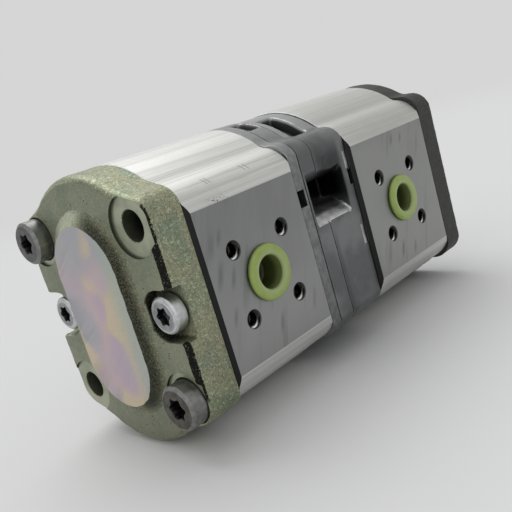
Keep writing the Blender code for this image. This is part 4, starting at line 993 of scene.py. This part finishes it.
def middle_pocket(side):
    """Side pocket under the upper bolt boss: round roof, deep floor and a sloping sill."""
    floor, roof_radius = MIDDLE_FLAT - 14.5, 9.7
    inner_angle = math.acos((floor - HOLE) / roof_radius)
    roof = arc((HOLE, HOLE), roof_radius, -inner_angle, -math.radians(25.0), 24)
    sill = [(44.0, -2.0), (MIDDLE_FLAT, 3.6), (36.8, 5.4), (34.4, 7.6), (31.0, 9.4), (27.0, 10.3),
            (floor, 10.4)]
    outline = [(side * y, z) for y, z in [*roof, (44.0, roof[-1][1]), *sill]]
    return lofted("middle_pocket", [(X_MIDDLE + 1.6, outline), (X_FRONT_BODY - 4.6, outline)])


def pocket_scoop(side):
    """Shallow round hollow that blends the bolt boss into the front end of the side pocket."""
    radius, sink = 13.0, 1.7
    profile = [(radius * math.sin(math.pi * i / 24), radius * math.cos(math.pi * i / 24)) for i in range(25)]
    profile[0], profile[-1] = (0.0, radius), (0.0, -radius)
    place = facing((0, side, 0), -81.8, side * (MIDDLE_FLAT + radius - sink), 25.5)
    return turned("scoop", [place], profile, 48)


def roof_windows():
    """Four recesses in the arch of the middle casting, two on each side of its crown, parted by ribs."""
    centre = (0.0, CROWN - ARCH)
    rows = ((X_MIDDLE + 12.8, X_MIDDLE + 21.8, 6.0, 16.0, 44.0),
            (X_MIDDLE + 1.2, X_MIDDLE + 7.8, 4.0, 8.0, 26.0))
    cutters = []
    for x_low, x_high, depth, near, far in rows:
        for start, end in ((near, far), (-far, -near)):
            low, high = math.radians(90.0 + start), math.radians(90.0 + end)
            outline = arc(centre, ARCH + 4.0, low, high, 16) + arc(centre, ARCH - depth, high, low, 16)
            cutters.append(lofted("roof_window", [(x_low, outline), (x_high, outline)]))
    return cutters


def build_middle_housing():
    """Die-cast section between the two pumps, cored at its sides and roof."""
    rear, front = middle_outline(-0.15), middle_outline(-0.55)
    piece = lofted("middle_housing", [(X_MIDDLE - 2.0, rear), (X_STEP, rear), (X_STEP, front),
                                      (X_FRONT_BODY + 2.0, front)])
    cut(piece, middle_pocket(-1), middle_pocket(1), pocket_scoop(-1), pocket_scoop(1), *roof_windows())
    cast(piece, 0.6, 4, 0.08, 5.0)
    combine(piece, "INTERSECT",
            block("end_faces", (X_MIDDLE + GAP, -WIDE, -WIDE), (X_FRONT_BODY, WIDE, WIDE)))
    past = X_FRONT_BODY + 2.0
    rubs = [block("rubbed_spot", (X_FRONT_BODY - 2.2, -PAST_SIDE, low), (past, RUBBED - MIDDLE_FLAT, high))
            for low, high in ((20.6, 27.6), (-11.4, -3.2))]
    line = (X_STEP - 0.25, X_STEP + 0.2)
    cut(piece, bolt_bores(X_MIDDLE - 2.0, 34.0), coupling_bore(REARWARD, X_FRONT_BODY, 34.0),
        weep_slot(X_FRONT_BODY - 1.6, past), *rubs,
        hollow_loft("step_line", plate_outline(6.0), middle_outline(-0.95), *line),
        seal_groove(X_FRONT_BODY - 2.5, past))

    # Painted light: the upward-facing sills take the bright casting finish.
    def on_sill(place, normal):
        return (normal[2] > 0.35) & (abs(place[1]) > 24.5) & (place[2] > 3.9) & (place[2] < 11.5)

    ends = [(MILLED_CAST, plane_at(0, x)) for x in (X_MIDDLE + GAP, X_FRONT_BODY)]
    finish_faces(piece, DIE_CAST, *ends, (BRIGHT_CAST, on_sill),
                 (BRIGHT_CAST, plane_at(1, RUBBED - MIDDLE_FLAT)),
                 # Painted shade: the step line takes the near black chamfer finish.
                 *[(CHAMFER, plane_at(0, x)) for x in line],
                 (SHADED_BORE, near_bolt(5.6)))
    return fit(piece, "housing", "die_cast_aluminium", "middle_housing")


def build_adapter_plate():
    """Thin plate with softened edges and a weep slot."""
    edge = 0.3
    low, high = X_PLATE + GAP, X_MIDDLE
    piece = edged("adapter_plate", plate_outline, low, high, edge)
    cut(piece, bolt_bores(low - 2.0, 10.0), coupling_bore(FORWARD, X_PLATE, 8.0),
        weep_slot(X_PLATE - 2.0, X_PLATE + 4.2), seal_groove(low - 2.0, low + 2.5))

    def on_burr(place, normal):
        return (place[0] > high - edge) & (normal[0] > 0.2) & (normal[0] < 0.9)

    finish_faces(piece, PLATE_CAST, (MILLED_CAST, plane_at(0, low)), (MILLED_CAST, plane_at(0, high)),
                 (BRIGHT_CAST, on_burr), (SHADED_BORE, near_bolt(5.6)))
    return fit(piece, "housing", "die_cast_aluminium", "adapter_plate")


build_middle_housing()
build_adapter_plate()


# Mounting flange


def build_front_cover():
    """Cast iron flange with a turned spigot, its ring groove and the seat of the shaft seal."""
    blank = lofted("front_cover", [(X_FLANGE - 2.0, flange_outline(-0.2)), (-1.2, flange_outline(-0.2)),
                                   (-0.4, flange_outline(-0.7)), (1.5, flange_outline(-2.5))])
    cast(blank, 0.6, 3, 0.12, 11.0)
    combine(blank, "INTERSECT", block("turned_faces", (X_FLANGE + GAP, -WIDE, -WIDE), (0.0, WIDE, WIDE)))
    spigot = turned("spigot", DRIVE_AXIS, rounded_path(
        [(0.0, SPIGOT_END, 0), (24.1, SPIGOT_END, 0.2), (SPIGOT, 6.1, 0.2), (SPIGOT, 5.3, 0.15),
         (21.7, 5.3, 0.2), (21.7, 1.7, 0.2), (SPIGOT, 1.7, 0.15), (SPIGOT, -3.0, 0), (0.0, -3.0, 0)]), 128)
    combine(blank, "UNION", spigot)
    mouth = BOLT_HOLE + 0.6
    cut(blank,
        drill("bolt_holes", along_x(FORWARD, X_FLANGE - 2.0, BOLT_SQUARE),
              [(BOLT_HOLE, 0.0), (BOLT_HOLE, 14.1), (mouth, 14.7), (mouth, 18.0)]),
        drill("shaft_bore", [facing(REARWARD, SPIGOT_END, 0.0, SHAFT_Z)],
              [(SEAL_SEAT + 0.5, -2.0), (SEAL_SEAT + 0.5, 0.0), (SEAL_SEAT, 0.5), (SEAL_SEAT, 0.7),
               (15.0, 0.7), (15.0, 2.5), (SEAL_SEAT, 2.5), (SEAL_SEAT, 9.1), (JOURNAL_BORE, 9.1),
               (JOURNAL_BORE, 22.5)], 96),
        journal_relief(FORWARD, X_FLANGE, SHAFTS[:1]), seal_groove(X_FLANGE - 2.0, X_FLANGE + GAP + 2.5))

    def on_spigot(place, normal):
        return (place[0] > 0.01) | (np.hypot(place[1], place[2] - SHAFT_Z) < 16.0)

    finish_faces(blank, FLANGE_CAST, (FLANGE_FACE, plane_at(0, 0.0)),
                 (FLANGE_FACE, on_spigot), (SHADED_BORE, near_bolt(6.2)))
    return fit(blank, "housing", "dark_cast_iron", "front_cover")


build_front_cover()


# Screws


def six_lobe(name, place, radius, depth):
    """Cutter for a six-lobe recess with a small lead-in and a drill point."""
    shape = bmesh.new()
    rings = []
    for scale, height in ((1.16, 0.6), (1.05, 0.0), (1.0, -0.3), (0.985, -depth), (0.35, -depth - 0.9)):
        ring = []
        for i in range(96):
            angle = 2 * math.pi * i / 96
            reach = radius * scale * (0.885 + 0.115 * math.cos(6 * angle) + 0.018 * math.cos(12 * angle))
            ring.append(place @ Vector((reach * math.cos(angle), reach * math.sin(angle), height)))
        rings.append(ring)
    skin_rings(shape, rings)
    return solid(name, shape)


def build_cap_screw(name, seat, radius, length, head, finish, face_finish, corners):
    """Cap screw on a seat: a turned head and shank with a six-lobe recess."""
    head_radius, head_height = head
    tip = 0.9
    profile = rounded_path([(0.0, head_height, 0), *corners, (head_radius - 0.35, 0.0, 0.15),
                            (radius, 0.0, 0.1), (radius, tip - length, 0.2), (radius - tip, -length, 0.2),
                            (0.0, -length, 0)])
    piece = turned(name, [seat], profile, 96)
    top = seat @ Matrix.Translation((0.0, 0.0, head_height))
    cut(piece, six_lobe("recess", top, head_radius * 0.5, head_height * 0.5))

    def in_recess(place, normal):
        along = np.array(seat.col[2][:3])
        origin = np.array(seat.col[3][:3])
        height = (place.T - origin) @ along
        return (height > head_height * 0.3) & (height < head_height - 0.05) & (
            np.linalg.norm(place.T - origin - np.outer(height, along), axis=1) < head_radius * 0.56)

    finish_faces(piece, finish, (face_finish, plane_at(0, top.translation.x)), (RECESS_SHADE, in_recess))
    return fit(piece, "housing", "plated_bolt_steel", name)


def build_screws():
    for (label, y, z), face_finish in zip(LONG_BOLTS, (AGED_FACE, DULL_FACE)):
        seat = facing(REARWARD, X_BOLT_SEAT - GAP, y, z)
        build_cap_screw(f"long_bolt_{label}", seat, 5.0, -X_BOLT_SEAT - 2.5, BOLT_HEAD, DULL_ZINC,
                        face_finish, [(6.9, 10.0, 0.25), (8.0, 9.1, 0.35), (8.0, 0.35, 0.15)])
    for label, side in (("right", -1), ("left", 1)):
        seat = facing(REARWARD, X_POCKET_FLOOR - GAP, side * SCREW_Y, 0.0)
        build_cap_screw(f"cover_screw_{label}", seat, 4.0, 19.0, SCREW_HEAD, BRIGHT_ZINC, BRIGHT_FACE,
                        [(4.9, 5.0, 0.2), (5.1, 4.75, 0.1), (5.9, 4.7, 0.2), (6.5, 4.1, 0.2),
                         (6.5, 0.35, 0.15)])


build_screws()


# Plugs


def build_plug(stage, kind, x):
    """Push-in plug: a thin cup with a rounded rim on the port face."""
    sleeve = PORTS[kind][0] - GAP
    rim, inner = sleeve + 2.5, sleeve - 1.5
    profile = rounded_path([
        (0.0, -8.5, 0), (inner - 0.3, -8.5, 0.8), (inner, 1.9, 1.2), (rim, 1.9, 1.5), (rim, 0.0, 0.15),
        (sleeve, 0.0, 0.1), (sleeve - 0.3, -10.0, 0.4), (0.0, -10.0, 0)], 6)
    place = facing(OUTWARD[kind], x, OUTWARD[kind][1] * (BODY_FLAT + GAP), PORT_Z)
    name = f"{stage}_{kind}_plug"
    piece = crisp(turned(name, [place], profile, 96))
    piece.data.materials.append(LIME)
    return fit(piece, "housing", "lime_plastic", name)


for stage, x in (("rear", REAR_PORT_X), ("front", FRONT_PORT_X)):
    for kind in ("outlet", "inlet"):
        build_plug(stage, kind, x)


# Threads


def thread_tree():
    """Tree that winds a thread at every point along the direction stored there, and its inputs' names."""
    tree = bpy.data.node_groups.new("wound_threads", "GeometryNodeTree")
    names = {}
    for name, kind in (("Places", "Geometry"), ("Radius", "Float"), ("Pitch", "Float"), ("Length", "Float"),
                       ("Ridge", "Float"), ("Finish", "Material")):
        socket = tree.interface.new_socket(name, in_out="INPUT", socket_type=f"NodeSocket{kind}")
        names[name] = socket.identifier
    tree.interface.new_socket("Threads", in_out="OUTPUT", socket_type="NodeSocketGeometry")
    t = Nodes(tree)
    group = tree.nodes.new("NodeGroupInput")
    places, radius, pitch, length, ridge, finish = [Value(t, socket) for socket in group.outputs[:6]]
    turns = t.node("ShaderNodeMath", {"operation": "DIVIDE"}, {0: length, 1: pitch})
    coil = {"Resolution": 32, "Rotations": turns, "Start Radius": radius, "End Radius": radius}
    helix = t.node("GeometryNodeCurveSpiral", (), {**coil, "Height": length})
    section = t.node("GeometryNodeCurvePrimitiveCircle", {"mode": "RADIUS"},
                     {"Resolution": 4, "Radius": ridge})
    wound = t.node("GeometryNodeCurveToMesh", (),
                   {"Curve": helix, "Profile Curve": section, "Fill Caps": True})
    direction = t.node("GeometryNodeInputNamedAttribute", {"data_type": "FLOAT_VECTOR"}, {"Name": "inward"})
    turn = t.node("FunctionNodeAlignRotationToVector", {"axis": "Z"}, {"Vector": direction})
    copies = t.node("GeometryNodeInstanceOnPoints", (),
                    {"Points": places, "Instance": wound, "Rotation": turn})
    merged = t.node("GeometryNodeRealizeInstances", (), {"Geometry": copies})
    dressed = t.node("GeometryNodeSetMaterial", (), {"Geometry": merged, "Material": finish})
    t.feed(tree.nodes.new("NodeGroupOutput").inputs[0], dressed)
    return tree, names


def wind_threads(name, tree, names, places, finish, **sizes):
    """Plain mesh of the threads at some places. Places and sizes are in millimetres."""
    mesh = bpy.data.meshes.new(name)
    mesh.from_pydata([place.translation * MM for place in places], [], [])
    inward = mesh.attributes.new("inward", "FLOAT_VECTOR", "POINT")
    for value, place in zip(inward.data, places):
        value.vector = place.col[2][:3]
    piece = add_object(name, mesh)
    winding = piece.modifiers.new("winding", "NODES")
    winding.node_group = tree
    winding[names["Finish"]] = finish
    for key, size in sizes.items():
        winding[names[key.title()]] = size * MM
    settle(piece)
    shape = bmesh.new()
    shape.from_mesh(piece.data)
    bmesh.ops.remove_doubles(shape, verts=shape.verts, dist=0.0005 * MM)
    bmesh.ops.recalc_face_normals(shape, faces=shape.faces)
    shape.to_mesh(piece.data)
    shape.free()
    return crisp(piece, 60.0)


def build_threads():
    tree, names = thread_tree()
    places = []
    for x in (REAR_PORT_X, FRONT_PORT_X):
        for kind in OUTWARD:
            places += port_screws(x, kind, 0.7)
    port_threads = wind_threads("port_threads", tree, names, places, THREAD,
                                radius=PORT_THREAD, pitch=1.0, length=11.0, ridge=0.55)
    fit(port_threads, "housing", "extruded_aluminium")
    ends = [facing(REARWARD, -3.8, y, z) for _, y, z in LONG_BOLTS]
    bolt_threads = wind_threads("bolt_threads", tree, names, ends, DULL_ZINC,
                                radius=4.75, pitch=1.5, length=12.0, ridge=0.42)
    fit(bolt_threads, "housing", "plated_bolt_steel")


build_threads()


# Drive shaft, seal and rings at the flange


def gear_outline(phase):
    """Spur gear outline about the drive shaft, with true involute flanks."""
    pressure, teeth, tip, root = math.radians(20.0), 12, 19.2, 13.8
    base = SHAFT_Z * math.cos(pressure)
    half_tooth = math.pi / (2 * teeth) - 0.3 / (2 * SHAFT_Z)

    def involute(angle):
        return math.tan(angle) - angle

    radii = [base + (tip - base) * i / 6 for i in range(7)]
    flank = [(r, half_tooth + involute(pressure) - involute(math.acos(min(1.0, base / r)))) for r in radii]
    flank.insert(0, (root, flank[0][1] * 1.25))
    points = []
    for tooth in range(teeth):
        middle = phase + 2 * math.pi * tooth / teeth
        sides = [(r, middle - half) for r, half in flank]
        sides += [(r, middle + half) for r, half in reversed(flank)]
        points += [(r * math.cos(a), SHAFT_Z + r * math.sin(a)) for r, a in sides]
    return points


def build_drive_shaft():
    """Front drive gear and its shaft in one piece, with a flat tang at each end."""
    outline = gear_outline(-math.pi / 2)
    low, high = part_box("front_front_bearing_block")[0].x / MM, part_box("front_rear_bearing_block")[1].x / MM
    piece = lofted("front_drive_gear", [(high + GAP, outline), (low - GAP, outline)])
    back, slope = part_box("front_drive_gear")[0].x / MM, 0.8
    shaft = turned("shaft", DRIVE_AXIS, rounded_path(
        [(0.0, SHAFT_END, 0), (JOURNAL - slope, SHAFT_END, 0.1), (JOURNAL, SHAFT_END - slope, 0.1),
         (JOURNAL, back + slope, 0.1), (JOURNAL - slope, back, 0.1), (0.0, back, 0)]), 96)
    combine(piece, "UNION", shaft)
    for side in (-1, 1):
        near, far = sorted((side * 4.0, side * 11.6))
        cut(piece, block("front_tang", (SPIGOT_END, near, 4.0), (SHAFT_END + 2, far, 30.0)),
            block("rear_tang", (back - 1.0, -12.0, SHAFT_Z + near), (back + 6.0 - GAP, 12.0, SHAFT_Z + far)))
    finish_faces(piece, STEEL)
    return fit(piece, "drive_train", "ground_steel", "front_drive_gear")


def build_shaft_seal():
    """Lip seal with a garter spring, the retaining ring in front of it and the ring of the spigot."""
    low, high = (corner.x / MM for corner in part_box("drive_shaft_seal"))
    seal = turned("drive_shaft_seal", DRIVE_AXIS, rounded_path(
        [(9.1, low + 0.6, 0), (9.1, low + 2.2, 0.1), (10.4, low + 3.4, 0.4), (10.9, high - 0.3, 0.5),
         (13.2, high, 0.3), (14.0, high - 0.5, 0.2), (14.0, low, 0.2), (12.6, low, 0.2),
         (12.4, low + 3.2, 0.5), (11.6, low + 3.2, 0.5), (11.2, low + 0.3, 0.3)]), 96)
    finish_faces(seal, RUBBER)
    fit(seal, "housing", "black_rubber", "drive_shaft_seal")
    gap = math.radians(14.0)
    start, end = -math.pi / 2 + gap, 3 * math.pi / 2 - gap
    steps = 72
    outer = arc((0.0, SHAFT_Z), 14.7, start, end, steps)
    inner = []
    for i in range(steps + 1):
        radius, angle = 12.1 - 1.3 * abs(2 * i / steps - 1) ** 10, end + (start - end) * i / steps
        inner.append((radius * math.cos(angle), SHAFT_Z + radius * math.sin(angle)))
    ring = lofted("seal_circlip", [(4.8, outer + inner), (6.0, outer + inner)])
    eyes = []
    for angle in (start + 0.09, end - 0.09):
        eyes.append(facing(FORWARD, 4.0, 12.6 * math.cos(angle), SHAFT_Z + 12.6 * math.sin(angle)))
    cut(ring, drill("eyes", eyes, [(0.75, 0.0), (0.75, 3.0)], 24))
    finish_faces(ring, STEEL)
    fit(ring, "housing", "ground_steel", "seal_circlip")
    section = arc((23.5, 3.5), 1.5, 0.0, 1.9 * math.pi, 19)
    pilot = turned("pilot_ring", DRIVE_AXIS, section, 128)
    finish_faces(pilot, RUBBER)
    fit(pilot, "housing", "black_rubber", "pilot_ring")


build_drive_shaft()
build_shaft_seal()


# Finishes of the pieces kept from the part


def dress_kept_nodes():
    """Gives the inner pieces that stay as they are their finishes."""
    rules = (("bush", BRONZE), ("bearing_block", BEARING), ("seal", RUBBER), ("", STEEL))
    for name, node in NODES.items():
        if node.hide_render:
            continue
        finish = next(material for key, material in rules if key in name)
        node.data.materials.clear()
        node.data.materials.append(finish)


dress_kept_nodes()


# Floor, light and camera


def pale_backdrop():
    """Floor and world: the same pale grey to the camera and in reflections, at a plain level as a light."""
    reach, level = 20.0, -0.0502
    mesh = bpy.data.meshes.new("floor")
    mesh.from_pydata([(reach * i, reach * j, level) for i, j in ((-1, -1), (1, -1), (1, 1), (-1, 1))], [],
                     [(0, 1, 2, 3)])
    floor = add_object("floor", mesh)
    f = Finish("pale_floor")
    f.shade(base_color=(0.76, 0.763, 0.765), roughness=0.9, metallic=0.0, specular_ior_level=0.1)
    reach = f.place.length()
    far = f.node("ShaderNodeEmission", (), {"Color": PALE, "Strength": 1.0})
    near = Value(f, f.shader.outputs["BSDF"])
    shown = f.node("ShaderNodeMixShader", (), {0: reach.ramp(500.0, 1600.0), 1: near, 2: far})
    f.feed(f.tree.nodes["Material Output"].inputs["Surface"], shown)
    mesh.materials.append(f.material)
    world = bpy.data.worlds.new("studio")
    bpy.context.scene.world = world
    world.use_nodes = True
    w = Nodes(world.node_tree)
    path = "ShaderNodeLightPath"
    seen = w.node(path, output="Is Camera Ray").math("MAXIMUM", w.node(path, output="Is Glossy Ray"))
    seen = seen.math("MAXIMUM", w.node(path, output="Is Transmission Ray"))
    lit = w.node("ShaderNodeBackground", (), {"Color": (1.0, 1.0, 1.0), "Strength": 0.54})
    pale = w.node("ShaderNodeBackground", (), {"Color": PALE, "Strength": 1.0})
    blend = w.node("ShaderNodeMixShader", (), {0: seen, 1: lit, 2: pale})
    w.feed(world.node_tree.nodes["World Output"].inputs["Surface"], blend)


def add_sun(name, towards, strength, spread):
    lamp = bpy.data.lights.new(name, "SUN")
    lamp.energy = strength
    lamp.angle = math.radians(spread)
    add_object(name, lamp).rotation_euler = Vector(towards).to_track_quat("-Z", "Y").to_euler()


def add_camera():
    camera = bpy.data.cameras.new("camera")
    camera.sensor_width = 36.0
    camera.lens = 46.80
    camera.clip_start = 0.01
    camera.clip_end = 100.0
    obj = add_object("camera", camera)
    ahead = Vector((0.66647, 0.71549, -0.20952)).normalized()
    up = Vector((0.34620, -0.04812, 0.93693))
    right = ahead.cross(up).normalized()
    up = right.cross(ahead)
    turn = Matrix((right, up, -ahead)).transposed().to_4x4()
    obj.matrix_world = Matrix.Translation((-0.28656, -0.20189, 0.05361)) @ turn
    bpy.context.scene.camera = obj


pale_backdrop()
add_sun("overhead", (-0.20, -0.45, -1.0), 1.15, 50.0)
add_sun("front_fill", (0.80, 0.40, -0.60), 0.34, 75.0)
add_camera()
bpy.context.scene.view_settings.view_transform = "Standard"
